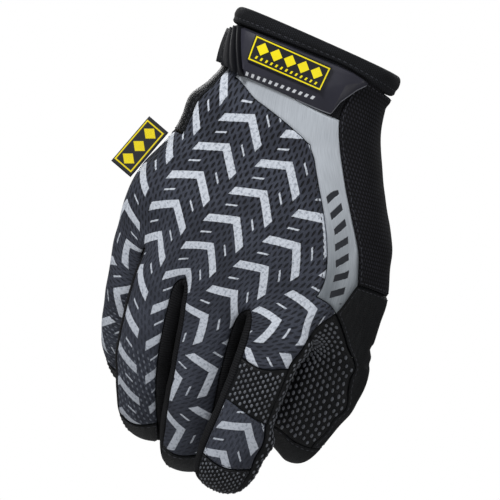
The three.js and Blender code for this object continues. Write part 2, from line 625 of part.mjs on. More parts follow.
function tabGeometry() {
  return loft(TAB_ROWS.map((row, r) => {
    const [edgeTop, faceTop] = [row.edgeTop, row.faceTop].map(alongPalm);
    const [faceBottom, edgeBottom] = [row.faceBottom, row.edgeBottom].map(alongPalm);
    const skew = r === 0 ? TAB_SKEW : 0;
    const face = r === TAB_ROWS.length - 1 ? TAB_EDGE + SEAM_GAP : TAB_FACE;
    const girth = girthOfX(acrossPalm(row.x));
    const at = (z, stand) => onCuff(girth + leaning(skew, edgeTop, edgeBottom, z), z, stand);
    return [at(edgeTop, CLOSURE_GAP), at(edgeTop, TAB_EDGE), at(faceTop, face),
      at(middle(faceTop, faceBottom), face), at(faceBottom, face), at(edgeBottom, TAB_EDGE),
      at(edgeBottom, CLOSURE_GAP), at(middle(edgeTop, edgeBottom), CLOSURE_GAP)];
  }), [[7, 0, 1], [7, 1, 2], [7, 2, 3], [7, 3, 4], [7, 4, 5], [7, 5, 6]]);
}

// The badge: a plate on the tab's face.
const BADGE_COLUMNS = 6;
function badgeGeometry() {
  const floor = TAB_FACE + CLOSURE_GAP;
  const [top, bottom] = [BADGE.top, BADGE.bottom].map(alongPalm);
  return loft(Array.from({ length: BADGE_COLUMNS + 1 }, (_, k) => {
    const girth = girthOfX(acrossPalm(mix(BADGE.left, BADGE.right, k / BADGE_COLUMNS)));
    return [onCuff(girth, top, floor), onCuff(girth, top, floor + BADGE_THICKNESS),
      onCuff(girth, bottom, floor + BADGE_THICKNESS), onCuff(girth, bottom, floor)];
  }), [[0, 1, 2], [0, 2, 3]]);
}

// The strap: ribbed where it leaves the tab, then flat round the little-finger side to the front of the
// wrist.
function strapGeometry() {
  const start = girthOfX(acrossPalm(TAB_ROWS[0].x)) - SEAM_GAP;
  const stations = [{ along: 0, stand: RIBS.valley }];
  for (let rib = 0; rib < RIBS.count; rib++) {
    const at = (rib + 0.5) * RIBS.pitch;
    const rise = RIBS.pitch * RIB_RAMP;
    stations.push({ along: at - rise, stand: RIBS.crest }, { along: at + rise, stand: RIBS.crest });
    stations.push({ along: (rib + 1) * RIBS.pitch, stand: RIBS.valley });
  }
  const ribsEnd = RIBS.count * RIBS.pitch;
  for (let k = 1; k <= STRAP_STEPS; k++) {
    const along = mix(ribsEnd, STRAP_REACH, k / STRAP_STEPS);
    stations.push({ along, stand: STRAP_THICKNESS + CLOSURE_GAP });
  }
  const [strapTop, strapBottom] = [STRAP_TOP, STRAP_BOTTOM].map(alongPalm);
  const [ribsTop, ribsBottom] = [TAB_ROWS[0].edgeTop, TAB_ROWS[0].edgeBottom].map(alongPalm);
  const level = middle(strapTop, strapBottom);
  return loft(stations.map(({ along, stand }) => {
    const narrow = smooth(along / ribsEnd);
    const tip = STRAP_TAPER * smooth((along - STRAP_REACH + STRAP_ROUND) / STRAP_ROUND);
    const top = mix(mix(ribsTop, strapTop, narrow), level, tip);
    const bottom = mix(mix(ribsBottom, strapBottom, narrow), level, tip);
    const skew = TAB_SKEW * (1 - narrow);
    const at = (z, height) => onCuff(start - along + leaning(skew, top, bottom, z), z, height);
    return [at(top, CLOSURE_GAP), at(top, stand), at(middle(top, bottom), stand), at(bottom, stand),
      at(bottom, CLOSURE_GAP), at(middle(top, bottom), CLOSURE_GAP)];
  }), [[5, 0, 1], [5, 1, 2], [5, 2, 3], [5, 3, 4]]);
}

// The side label: a strip folded in two, its fold standing out from the little-finger seam.
function labelGeometry() {
  const half = LABEL.fold / 2;
  const bend = LABEL.reach - half;
  const outline = [];
  const inline = [];
  for (let k = 0; k <= FOLD_STEPS; k++) {
    const turn = -Math.PI / 2 + (Math.PI * k) / FOLD_STEPS;
    outline.push([bend + half * Math.cos(turn), half * Math.sin(turn)]);
    inline.push([bend + (half - LABEL.layer) * Math.cos(turn), (half - LABEL.layer) * Math.sin(turn)]);
  }
  const inner = (half - LABEL.layer);
  const section = [[0, -half], ...outline, [0, half], [0, inner], ...inline.reverse(), [0, -inner]];
  const shape = new THREE.Shape(section.map(([u, v]) => new THREE.Vector2(u, v)));
  const geometry = new THREE.ExtrudeGeometry(shape, { depth: LABEL.length, bevelEnabled: false });
  geometry.translate(0, 0, -LABEL.length / 2);
  geometry.rotateZ(Math.PI);
  geometry.rotateY(radians(LABEL.tilt));
  const depth = LABEL_PLACE.y * PALM_THICKNESS;
  return geometry.translate(acrossPalm(LABEL_PLACE.x), depth, alongPalm(LABEL_PLACE.z));
}

const TRIM = {
  cuff_hem: { make: hemGeometry, color: 0x131417, roughness: 0.9 },
  closure_tab: { make: tabGeometry, color: 0x2c2d34, roughness: 0.5 },
  closure_badge: { make: badgeGeometry, color: 0xf2d500, roughness: 0.45 },
  closure_strap: { make: strapGeometry, color: 0x18191d, roughness: 0.6 },
  side_label: { make: labelGeometry, color: 0x25262b, roughness: 0.7 },
};

const glove = new THREE.Group();
function addPiece(name, geometry, { color, roughness, metalness = 0 }) {
  const mesh = new THREE.Mesh(geometry, new THREE.MeshStandardMaterial({ color, roughness, metalness }));
  mesh.name = name;
  glove.add(mesh);
}

for (const [name, look] of Object.entries(PANELS)) {
  const share = skin.faces.filter((face) => face.panel === name);
  if (share.length) addPiece(name, panelGeometry(share, look.wall), look);
}

for (const [name, look] of Object.entries(TRIM)) addPiece(name, look.make(), look);

export default glove;
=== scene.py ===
# %% [markdown]
# # A mechanic's work glove
#
# The glove hangs from its wrist with the fingers down, as it does on a shop's form. It is sewn from a printed
# mesh back, a silver inlay, a black stretch side, gripping patches with small raised dots and a moulded
# closure. The solids of the part are loaded first, as a fixed frame. Every piece made here takes the place of
# one of them, so the wrist is at the origin, +Z runs out of the cuff, -Y is the back of the hand and +X is
# the thumb side.

# %% Load the solids
import math

import bpy
import numpy as np
from mathutils import Matrix, Vector
from mathutils.bvhtree import BVHTree
from mathutils.interpolate import poly_3d_calc
from mathutils.kdtree import KDTree


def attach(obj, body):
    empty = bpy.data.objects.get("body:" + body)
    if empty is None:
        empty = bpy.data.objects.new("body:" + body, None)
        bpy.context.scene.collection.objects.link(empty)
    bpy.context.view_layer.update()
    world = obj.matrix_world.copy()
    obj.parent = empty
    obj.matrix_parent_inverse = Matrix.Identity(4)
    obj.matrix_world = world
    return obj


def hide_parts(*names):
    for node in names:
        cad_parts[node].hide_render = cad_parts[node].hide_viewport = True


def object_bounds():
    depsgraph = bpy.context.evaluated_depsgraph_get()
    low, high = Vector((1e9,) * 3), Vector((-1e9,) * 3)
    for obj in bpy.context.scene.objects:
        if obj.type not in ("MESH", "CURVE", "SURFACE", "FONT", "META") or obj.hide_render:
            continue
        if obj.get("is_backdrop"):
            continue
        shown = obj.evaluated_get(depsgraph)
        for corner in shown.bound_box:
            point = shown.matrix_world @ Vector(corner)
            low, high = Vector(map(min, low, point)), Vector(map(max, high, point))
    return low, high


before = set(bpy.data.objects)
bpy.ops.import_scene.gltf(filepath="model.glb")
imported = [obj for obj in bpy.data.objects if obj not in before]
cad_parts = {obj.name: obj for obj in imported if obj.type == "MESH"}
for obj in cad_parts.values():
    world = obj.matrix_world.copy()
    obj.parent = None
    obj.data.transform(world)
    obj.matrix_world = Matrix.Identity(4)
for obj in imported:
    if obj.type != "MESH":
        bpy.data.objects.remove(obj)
cad_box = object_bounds()
MM = 0.001
print("solids:", len(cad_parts))

# %% [markdown]
# ## The camera
#
# The photograph looks straight at the back of the hand, and it was turned so that the glove leans. A long
# lens from far away keeps the fingers from growing towards the camera. The camera's own sideways direction is
# therefore turned by the same angle, and the lens is as wide as the photograph's frame needs at the glove.

# %% Camera
LEAN = math.radians(24)
AIM = Vector((10.5, -6, -98.8)) * MM
FRAME_WIDTH = 225 * MM
CAMERA_DISTANCE = 2.4
SENSOR = 36

right = Vector((math.cos(LEAN), 0, math.sin(LEAN)))
up = Vector((-math.sin(LEAN), 0, math.cos(LEAN)))
camera_data = bpy.data.cameras.new("camera")
camera_data.sensor_width = SENSOR
camera_data.lens = SENSOR * CAMERA_DISTANCE / FRAME_WIDTH
camera_data.clip_end = 50
camera = bpy.data.objects.new("camera", camera_data)
camera.matrix_world = Matrix.Translation(AIM + Vector((0, -CAMERA_DISTANCE, 0))) @ Matrix(
    (right, up, Vector((0, -1, 0)))).transposed().to_4x4()
bpy.context.scene.collection.objects.link(camera)
bpy.context.scene.camera = camera
print("lens:", round(camera_data.lens), "mm")

# %% [markdown]
# ## One cage for the whole hand
#
# A glove could be sculpted, or modelled panel by panel. Sewn panels meet exactly at their seams, so it is
# easier to start from one coarse cage over the whole hand: sections of twenty points down the palm and of
# eight points along each finger. Catmull and Clark's subdivision then makes it smooth, and each panel is a
# share of the smooth skin. The tables hold shares of the palm's size, and each row is one section from the
# cuff down.

# %% Sizes of the hand
PALM_WIDTH, PALM_LENGTH, PALM_THICKNESS = 98, 128, 38
SECTION_FIELDS = ("z_ulnar z_strip z_radial ulnar strip_left strip_right radial "
                  "ulnar_depth radial_depth back front").split()
PALM_SECTIONS = [dict(zip(SECTION_FIELDS, row)) for row in (
    (-.066, -.054, -.08, -.388, .15, .235, .42, 0, 0, .62, .6),
    (-.14, -.14, -.145, -.394, .145, .225, .438, 0, .02, .61, .6),
    (-.222, -.222, -.222, -.376, .14, .21, .46, .01, .05, .59, .61),
    (-.248, -.352, -.345, -.366, .145, .32, .556, .03, .14, .56, .63),
    (-.37, -.47, -.46, -.468, .26, .42, .656, .06, .25, .54, .66),
    (-.495, -.585, -.58, -.435, .375, .535, .768, .1, .38, .52, .68),
    (-.62, -.705, -.705, -.528, .475, .59, .856, .2, .5, .51, .66),
    (-.75, -.83, -.82, -.56, .55, .578, .68, .3, .2, .5, .58),
)]
TIP_SEAM = {5: (-1.5, 3, -1.5)}
DIGITS = {
    "pinky": dict(x=-.395, y=.45, z=-.87, length=88, width=22, thickness=18, base=.97, pad=1,
                  splay=0, lean=28, bends=(24, 18, 14), seams=TIP_SEAM),
    "ring": dict(x=-.24, y=.05, z=-.925, length=98, width=25.5, thickness=20, base=.98, pad=1,
                 splay=6, lean=22, bends=(13, 22, 20), seams=TIP_SEAM),
    "middle": dict(x=.05, y=-.02, z=-.965, length=94, width=27.5, thickness=21, base=1.05, pad=.98,
                   splay=9.5, lean=8, bends=(13, 16, 18), seams=TIP_SEAM),
    "index": dict(x=.368, y=-.2, z=-.955, length=86, width=27.5, thickness=20, base=1.05, pad=1.1,
                  splay=3.2, lean=-2, bends=(7, 9, 9),
                  seams={1: (-3, 3, -9), 3: (-8, -2, 3), 5: (-2, 4, -4)}),
    "thumb": dict(x=.668, y=.64, z=-.81, length=80, width=34, thickness=25, base=1.04, pad=.86,
                  splay=4.6, lean=-30, bends=(4, 14, 14), seams={}, drift=(0, -30, -14)),
}
# Share of the length, then shares of the width and of the thickness.
DIGIT_SECTIONS = [(.13, 1, 1.04), (.26, 1, 1), (.38, .99, .99), (.51, 1, 1),
                  (.66, 1, .94), (.81, .98, .88), (.92, .86, .76), (.98, .56, .5)]
BASE_OVER, PAD_FROM, PAD_OVER = .45, .5, .25
DRIFT_FROM, DRIFT_OVER = .2, .3
JOINTS_ALONG, BEND_SPREAD, PATH_STEPS = (0, .42, .7), .12, 200
RIM_ANGLES = (146, 90, 34, -4, -46, -90, -134, 184)
CAGE_SWELL = 1.1
print("tables:", len(PALM_SECTIONS), "sections of the palm,", len(DIGITS), "digits")

# %% [markdown]
# A few helpers are used all over: a value between two others, a share that starts and ends gently, a vector
# brought to a length of one, how far along a line its points are, a line closed to a loop, and the angles
# round a circle.

# %% Small helpers
TINY = 1e-12


def mix(a, b, t):
    return a + (b - a) * t


def smooth(t):
    t = np.clip(t, 0, 1)
    return t * t * (3 - 2 * t)


def unit(v):
    return v / np.maximum(np.linalg.norm(v, axis=-1, keepdims=True), TINY)


def run_along(line):
    """How far along a line each of its points is."""
    return np.concatenate(([0], np.cumsum(np.linalg.norm(np.diff(line, axis=0), axis=1))))


def closed_up(line):
    return np.concatenate((line, line[:1]))


def turns(sides):
    return np.arange(sides) * 2 * math.pi / sides


print("halfway, smoothly:", smooth(.5))

# %% [markdown]
# A finger bends at three places. Its directions at a share of its length are where the tip points, where the
# palm side points and across. The path down its middle is added up in small steps along the first of them.

# %% Fingers
def digit_frame(digit, share):
    splay, lean = math.radians(digit["splay"]), math.radians(digit["lean"])
    bend = sum(angle if i == 0 else angle * smooth((share - JOINTS_ALONG[i]) / BEND_SPREAD + .5)
               for i, angle in enumerate(digit["bends"]))
    bend = math.radians(bend)
    down = np.array((math.sin(splay), 0, -math.cos(splay)))
    sideways = np.array((math.cos(splay), 0, math.sin(splay)))
    inwards = np.array((0, 1, 0))
    palmar = inwards * math.cos(lean) + sideways * math.sin(lean)
    across = sideways * math.cos(lean) - inwards * math.sin(lean)
    tip = down * math.cos(bend) + palmar * math.sin(bend)
    belly = palmar * math.cos(bend) - down * math.sin(bend)
    return tip, belly, across


def digit_centre(digit, share):
    centre = np.array((digit["x"] * PALM_WIDTH, digit["y"] * PALM_THICKNESS, digit["z"] * PALM_LENGTH))
    for i in range(round(share * PATH_STEPS)):
        centre = centre + digit_frame(digit, (i + .5) / PATH_STEPS)[0] * digit["length"] / PATH_STEPS
    return centre


def digit_rim(digit, share, width_share, thickness_share, shifts=(0, 0, 0)):
    tip, belly, across = digit_frame(digit, share)
    centre = digit_centre(digit, share)
    base = mix(digit["base"], 1, smooth(share / BASE_OVER))
    pad = mix(1, digit["pad"], smooth((share - PAD_FROM) / PAD_OVER))
    half_width = digit["width"] * base * pad * width_share * CAGE_SWELL / 2
    half_thickness = digit["thickness"] * thickness_share * CAGE_SWELL / 2
    drifted = smooth((share - DRIFT_FROM) / DRIFT_OVER)
    drift = digit.get("drift", ())
    rim = []
    for i, angle in enumerate(RIM_ANGLES):
        turn = math.radians(angle + (drifted * drift[i] if i < len(drift) else 0))
        rim.append(centre + across * half_width * math.cos(turn) - belly * half_thickness * math.sin(turn)
                   + tip * (shifts[i] if i < len(shifts) else 0))
    return rim


for name, digit in DIGITS.items():
    print(f"{name:7s} tip at", digit_centre(digit, 1).round(1), "mm")

# %% [markdown]
# The last section of the palm isn't a plain oval: it is made from the four fingers' roots, and two fingers
# share the points of the crotch between them.

# %% The ring of the knuckles
COLUMNS = 8
LAST = len(PALM_SECTIONS)
root_rims = [digit_rim(DIGITS[name], 0, 1, 1) for name in ("pinky", "ring", "middle", "index")]


def knuckle_ring():
    back, front, crotch = [root_rims[0][0]], [root_rims[0][6]], []
    for i, rim in enumerate(root_rims):
        after = root_rims[i + 1] if i < 3 else None
        back += [rim[1], (rim[2] + after[0]) / 2 if after else rim[2]]
        front += [rim[5], (rim[4] + after[6]) / 2 if after else rim[4]]
        if after:
            crotch.append((rim[3] + after[7]) / 2)
    return dict(back=back, front=front, crotch=crotch, ulnar=root_rims[0][7], radial=root_rims[3][3])


knuckles = knuckle_ring()
print("knuckles:", len(knuckles["back"]), "points on the back,", len(knuckles["crotch"]), "crotches")

# %% [markdown]
# The other sections are ovals whose ends are squared a little. The columns of points start evenly spaced at
# the cuff and drift until they meet the fingers' roots, and the inlay keeps the last column of the back.

# %% Sections of the palm
END_MARGIN, SIDE_SHARE, SECTION_POWER = .05, .62, 2.4
ULNAR_PULL, RADIAL_PULL, SLANT, BLEND_POWER = 3, 7, 1.7, 2.2


def palm_ring(section, row):
    blend = ((row + 1) / (LAST + 1)) ** BLEND_POWER
    span = section["radial"] - section["ulnar"]
    strip_share = (section["strip_left"] - section["ulnar"]) / span
    right_share = (section["strip_right"] - section["ulnar"]) / span

    def at(share, side):
        if share < strip_share:
            z = mix(section["z_ulnar"], section["z_strip"], (share / strip_share) ** SLANT)
        else:
            z = mix(section["z_strip"], section["z_radial"], (share - strip_share) / (1 - strip_share))
        rest = (section["ulnar_depth"] * (1 - share) ** ULNAR_PULL
                + section["radial_depth"] * share ** RADIAL_PULL)
        stand = (1 - abs(2 * share - 1) ** SECTION_POWER) ** (1 / SECTION_POWER)
        rise = -section["back"] if side == "back" else section["front"]
        return np.array(((section["ulnar"] + span * share) * PALM_WIDTH,
                         (rest + rise * stand) * PALM_THICKNESS, z * PALM_LENGTH))

    def settle(share, knuckle):
        settled = np.clip((knuckle[0] / PALM_WIDTH - section["ulnar"]) / span, END_MARGIN, 1 - END_MARGIN)
        return mix(share, settled, blend)

    back, front = [], []
    for column in range(COLUMNS + 1):
        even = END_MARGIN + (1 - 2 * END_MARGIN) * column / COLUMNS
        front.append(at(settle(even, knuckles["front"][column]), "front"))
        beside = mix(END_MARGIN, strip_share, column / (COLUMNS - 1))
        share = (right_share if column == COLUMNS else strip_share if column == COLUMNS - 1
                 else settle(beside, knuckles["back"][column]))
        back.append(at(share, "back"))
    return dict(back=back, front=front, ulnar=at(0, "back"), radial=at(1, "back"),
                side=at(mix(right_share, 1, SIDE_SHARE), "back"))


palm_rings = [palm_ring(section, row) for row, section in enumerate(PALM_SECTIONS)] + [knuckles]
print("palm:", len(palm_rings), "rings")

# %% [markdown]
# The cage's faces are listed with the name of the panel that each belongs to. The seams follow the cage's
# lines: the silver inlay is the last column of the back, the gussets between the fingers are the sides of
# each finger, and the gripping patches are rows of the forefinger and of the thumb.

# %% Points of the palm
points, faces, panel_of = [], [], []


def add_point(p):
    points.append(p)
    return len(points) - 1


def add_face(corners, panel):
    faces.append(corners)
    panel_of.append(panel)


THUMB_TOP = LAST - 2
rings = []
for row, ring in enumerate(palm_rings):
    rings.append(dict(
        back=[add_point(p) for p in ring["back"]], front=[add_point(p) for p in ring["front"]],
        ulnar=add_point(ring["ulnar"]),
        side=add_point(ring["side"]) if row < THUMB_TOP else None,
        radial=None if row == THUMB_TOP + 1 else add_point(ring["radial"])))
crotches = [add_point(p) for p in knuckles["crotch"]]
print("palm:", len(points), "points")

# %% [markdown]
# Row by row, the palm's faces go round the hand: back and front, the little finger's edge, and above the
# thumb the stretch side. The thumb's hole is left open in the last two rows.

# %% Faces of the palm
CUFF_ROWS, INLAY_ROW, HEEL_ROWS = 2, 2, 5


def back_panel_name(row, column):
    if row < CUFF_ROWS:
        return "cuff_band"
    if column == COLUMNS - 1:
        return "silver_inlay" if row < LAST - 1 else "back_panel"
    return "silver_inlay" if row == INLAY_ROW and column > 0 else "back_panel"


for row in range(LAST):
    upper, lower = rings[row], rings[row + 1]
    for c in range(COLUMNS):
        add_face([upper["back"][c], lower["back"][c], lower["back"][c + 1], upper["back"][c + 1]],
                 back_panel_name(row, c))
        add_face([upper["front"][c + 1], lower["front"][c + 1], lower["front"][c], upper["front"][c]],
                 "palm_panel")
    add_face([upper["front"][0], lower["front"][0], lower["ulnar"], upper["ulnar"]], "palm_panel")
    add_face([upper["ulnar"], lower["ulnar"], lower["back"][0], upper["back"][0]],
             "cuff_band" if row < CUFF_ROWS else "palm_panel" if row < HEEL_ROWS else "back_panel")
    if row >= THUMB_TOP:
        continue
    end = COLUMNS
    if lower["side"] is not None:
        add_face([upper["back"][end], lower["back"][end], lower["side"], upper["side"]], "side_panel")
        add_face([upper["side"], lower["side"], lower["radial"], upper["radial"]], "side_panel")
    else:
        add_face([upper["back"][end], lower["back"][end], lower["radial"], upper["radial"], upper["side"]],
                 "side_panel")
    add_face([upper["radial"], lower["radial"], lower["front"][end], upper["front"][end]], "side_panel")
print("palm:", len(faces), "faces")

# %% [markdown]
# Each finger is a tube between its sections, closed by a cap round one point.

# %% Finger tubes
RIM = len(RIM_ANGLES)


def add_digit(digit, rim, name_of, first=0):
    sections = DIGIT_SECTIONS[first:]
    for row, (along, width, thickness) in enumerate(sections):
        shifts = digit["seams"].get(row + first, (0, 0, 0))
        after = [add_point(p) for p in digit_rim(digit, along, width, thickness, shifts)]
        for i in range(RIM):
            j = (i + 1) % RIM
            add_face([rim[i], after[i], after[j], rim[j]], name_of(row, i))
        rim = after
    tip = add_point(digit_centre(digit, 1))
    for i in range(0, RIM, 2):
        add_face([rim[i], tip, rim[(i + 2) % RIM], rim[i + 1]], name_of(len(sections), i))


def knuckle_rim(i):
    ring = rings[LAST]
    left = ring["ulnar"] if i == 0 else crotches[i - 1]
    after = ring["radial"] if i == 3 else crotches[i]
    return [ring["back"][2 * i], ring["back"][2 * i + 1], ring["back"][2 * i + 2], after,
            ring["front"][2 * i + 2], ring["front"][2 * i + 1], ring["front"][2 * i], left]


print("a finger's tube:", RIM, "sides,", len(DIGIT_SECTIONS), "sections")

# %% [markdown]
# Which panel a finger's face belongs to depends on its row down the finger and its place round it. The first
# two faces of a row are the back, the next two the thumb side, then the front, and the last two the little
# finger's side.

# %% Names of the fingers' panels
TIP_ROW, BAND_ROWS = 6, (2, 4)


def pinky_name(row, i):
    if i < 2:
        return "pinky_tip_patch" if row >= TIP_ROW else "back_panel"
    if i in (2, 3):
        return "fourchette_pinky_ring"
    return "back_panel" if i == 7 and row < TIP_ROW else "palm_panel"


def index_name(row, i):
    if i > 5:
        return "fourchette_middle_index"
    if i > 1:
        return "index_side_grip" if i < 4 else "palm_panel"
    if row >= TIP_ROW:
        return "index_tip_grip"
    if row < BAND_ROWS[0]:
        return "back_panel"
    return "index_knuckle_grip" if row < BAND_ROWS[1] else "index_back_panel"


def between(tip, radial, ulnar):
    def name_of(row, i):
        if i < 2:
            return tip if row >= TIP_ROW else "back_panel"
        return radial if i in (2, 3) else ulnar if i > 5 else "palm_panel"
    return name_of


def thumb_name(row, i):
    if row >= TIP_ROW - 1:
        return "thumb_tip_patch"
    return "thumb_back_panel" if i in (1, 2, 3) else "thumb_grip_panel"


print("the forefinger's back:", [index_name(row, 0) for row in range(len(DIGIT_SECTIONS) + 1)])

# %% [markdown]
# The thumb starts on the hole that the palm left open, so its first section is skipped.

# %% Add the fingers
add_digit(DIGITS["pinky"], knuckle_rim(0), pinky_name)
add_digit(DIGITS["ring"], knuckle_rim(1),
          between("ring_tip_patch", "fourchette_ring_middle", "fourchette_pinky_ring"))
add_digit(DIGITS["middle"], knuckle_rim(2),
          between("middle_tip_patch", "fourchette_middle_index", "fourchette_ring_middle"))
add_digit(DIGITS["index"], knuckle_rim(3), index_name)
top, middle_row, web = rings[THUMB_TOP:THUMB_TOP + 3]
add_digit(DIGITS["thumb"], [web["back"][-1], middle_row["back"][-1], top["back"][-1], top["radial"],
                            top["front"][-1], middle_row["front"][-1], web["front"][-1], web["radial"]],
          thumb_name, 1)
PANEL_NAMES = sorted(set(panel_of))
print("cage:", len(points), "points,", len(faces), "faces,", len(PANEL_NAMES), "panels")

# %% [markdown]
# ## The skin, and the cloth laid flat
#
# Blender's Subdivision Surface smooths the cage. A panel of cloth was flat when it was cut, and its weave and
# print still follow the flat cloth. So halfway through the smoothing the seams are marked and each panel is
# unwrapped with little stretch. The flat place of each point, in millimetres, is kept in a map named cloth,
# and every pattern reads that map, so it bends round the fingers as real cloth does.

# %% Smooth the cage
FIRST_LEVELS, LAST_LEVELS = 2, 2


def link(name, mesh):
    obj = bpy.data.objects.new(name, mesh)
    bpy.context.scene.collection.objects.link(obj)
    return obj


def subdivided(obj, levels):
    smoothing = obj.modifiers.new("smooth", "SUBSURF")
    smoothing.levels = smoothing.render_levels = levels
    smoothing.use_limit_surface = False
    evaluated = obj.evaluated_get(bpy.context.evaluated_depsgraph_get())
    mesh = bpy.data.meshes.new_from_object(evaluated)
    obj.modifiers.clear()
    obj.data = mesh
    return mesh


cage_mesh = bpy.data.meshes.new("hand")
cage_mesh.from_pydata([tuple(p * MM) for p in points], [], faces)
cage_mesh.polygons.foreach_set("material_index", [PANEL_NAMES.index(name) for name in panel_of])
hand = link("hand", cage_mesh)
mesh = subdivided(hand, FIRST_LEVELS)
print("first levels:", len(mesh.polygons), "faces")

# %% [markdown]
# A seam runs wherever two panels meet. Once the seams are marked, Blender unwraps every panel at once, and
# each lies flat as an island of its own.

# %% Unwrap
FLAT, ISLAND_MARGIN = "cloth", .002


def read(items, field, width, kind=float):
    values = np.empty(len(items) * width, kind)
    items.foreach_get(field, values)
    return values.reshape(-1, width) if width > 1 else values


edge_of = {tuple(sorted(e.vertices)): e for e in mesh.edges}
side_of = {}
for polygon in mesh.polygons:
    for key in polygon.edge_keys:
        side_of.setdefault(tuple(sorted(key)), set()).add(polygon.material_index)
for key, sides in side_of.items():
    edge_of[key].use_seam = len(sides) > 1
mesh.uv_layers.new(name=FLAT)
bpy.context.view_layer.objects.active = hand
hand.select_set(True)
bpy.ops.object.mode_set(mode="EDIT")
bpy.ops.mesh.select_all(action="SELECT")
bpy.ops.uv.unwrap(method="MINIMUM_STRETCH", fill_holes=False, correct_aspect=False,
                  margin=ISLAND_MARGIN)
bpy.ops.object.mode_set(mode="OBJECT")
mesh = subdivided(hand, LAST_LEVELS)
print("skin:", len(mesh.polygons), "faces")

# %% [markdown]
# From here the skin is worked on as plain arrays, which is quick even for many thousand points. Each panel's
# island is turned until its second direction climbs towards the cuff, and scaled to millimetres.

# %% Read the skin
skin = read(mesh.vertices, "co", 3) / MM
quads = read(mesh.loops, "vertex_index", 1, np.int32).reshape(-1, 4)
quad_panel = read(mesh.polygons, "material_index", 1, np.int32)
flat = read(mesh.uv_layers[FLAT].uv, "vector", 2).reshape(-1, 4, 2)
bpy.data.objects.remove(hand)


def vertex_normals(at, corners):
    across = np.cross(at[corners[:, 2]] - at[corners[:, 0]], at[corners[:, 3]] - at[corners[:, 1]])
    total = np.zeros_like(at)
    for k in range(4):
        np.add.at(total, corners[:, k], across)
    return unit(total), unit(across)


def laid_flat(own):
    """Turns and scales one panel's island, and returns how evenly it stretches too."""
    p, q = skin[quads[own]], flat[own]
    e1, e2 = p[:, 1] - p[:, 0], p[:, 3] - p[:, 0]
    f1, f2 = q[:, 1] - q[:, 0], q[:, 3] - q[:, 0]
    area = np.linalg.norm(np.cross(e1, e2), axis=1)
    flat_area = f1[:, 0] * f2[:, 1] - f1[:, 1] * f2[:, 0]
    scale = math.sqrt(area.sum() / abs(flat_area.sum()))
    safe = np.where(abs(flat_area) < TINY, TINY, flat_area)
    climb_u = (e1[:, 2] * f2[:, 1] - e2[:, 2] * f1[:, 1]) / safe
    climb_v = (e2[:, 2] * f1[:, 0] - e1[:, 2] * f2[:, 0]) / safe
    v_axis = unit(np.array(((climb_u * area).sum(), (climb_v * area).sum())))
    u_axis = np.array((v_axis[1], -v_axis[0]))
    turned = np.stack((q @ u_axis, q @ v_axis), -1) * scale
    middle = turned.reshape(-1, 2).mean(0)
    return turned - middle + p.reshape(-1, 3)[:, (0, 2)].mean(0), np.std(abs(flat_area) * scale ** 2 / area)


for number, name in enumerate(PANEL_NAMES):
    own = quad_panel == number
    flat[own], stretch = laid_flat(own)
    print(f"{name:26s}{own.sum():6d} faces, stretch {stretch:.3f}")

# %% [markdown]
# ## Relief
#
# Real cloth is never quite fair: it swells and sinks a little over the hand, and it tucks where the thumb
# turns. A sum of long sine waves gives the first. A short table of pushes gives the second: each moves the
# skin near one place of the hand, most in its middle and nothing at its radius, as Blender's proportional
# editing does. Both move the whole skin before it is cut, so neighbouring panels still meet. Under the
# closure it stays true.

# %% Long waves
CALM_FROM, CALM_OVER = -34, 16
WAVES = {"swell": (46, 3, .3), "ripple": (17, 4, .12)}  # length in millimetres, seed, height


def waves(at, length, seed, count=9):
    rng = np.random.default_rng(seed)
    total = np.zeros(len(at))
    for _ in range(count):
        turn = unit(rng.normal(size=3)) * 2 * math.pi / (length * rng.uniform(.7, 1.4))
        total += np.sin(at @ turn + rng.uniform(0, 2 * math.pi))
    return total / math.sqrt(count)


normals, _ = vertex_normals(skin, quads)
calm = smooth((CALM_FROM - skin[:, 2]) / CALM_OVER)
relief = sum(waves(skin, length, seed) * high for length, seed, high in WAVES.values()) * calm
relieved = skin + normals * relief[:, None]
print("relief:", relief.min().round(2), "to", relief.max().round(2), "mm")

# %% [markdown]
# Each push has a place in X and Z, a radius, and a way in X and Z, all in millimetres.

# %% Pushes
PUSHES = {
    "heel pad": (-43.1, -44.8, 10, -1.2, .5), "little finger's edge": (-31, -168, 18, -.9, -.3),
    "little finger's tip": (-6.8, -192.7, 15, -.5, -.6), "ring finger's tip": (15.1, -198.7, 13, -.4, -1.8),
    "thumb's tip": (69.6, -174.9, 18, 1, -1.4), "thumb's tip, inner side": (56, -176, 10, 3, 2),
    "thumb's outer side": (82, -140, 22, 1.2, .2), "thumb's root": (83, -94, 20, 1.7, 0),
    "first tuck": (80.9, -117.6, 3.5, -1.2, 0), "second tuck": (80.5, -124.5, 3, -1, 0),
    "cuff's end": (42, -10.8, 5.5, 2.6, -.3), "inlay's point": (-28, -33.5, 15, 0, 4),
    "inlay's bend": (18.5, -43.5, 8, -1.7, -.5), "forefinger's root": (50.5, -128, 12, 2.6, -.5),
    "thumb's seam, high": (71.5, -128, 8, 3, -.3), "thumb's seam, middle": (74.5, -147, 10, 3.2, 0),
    "thumb's seam, low": (71.5, -159, 9, 2.8, 0),
}
for x, z, radius, move_x, move_z in PUSHES.values():
    near = smooth(1 - np.hypot(skin[:, 0] - x, skin[:, 2] - z) / radius)
    relieved += near[:, None] * (move_x, 0, move_z)
print("moved by up to", np.linalg.norm(relieved - skin, axis=1).max().round(1), "mm")

# %% [markdown]
# Between two fingers the gussets of both lie almost against each other. The palm side of the gap is moved a
# little sideways against its back, on both fingers alike, as on fingers that rest on each other, so no light
# shows through.

# %% Lean the gaps between the fingers
GAP_LEAN, LEAN_FADE, TOUCHING = 1.9, 9, 1e-6


def kd_tree(at):
    tree = KDTree(len(at))
    for i, p in enumerate(at.tolist()):
        tree.insert(p, i)
    tree.balance()
    return tree


def far_from(own, others):
    """How far each of one set of skin points is from the nearest of another."""
    tree = kd_tree(skin[others])
    return np.array([tree.find(p)[2] for p in skin[own].tolist()])


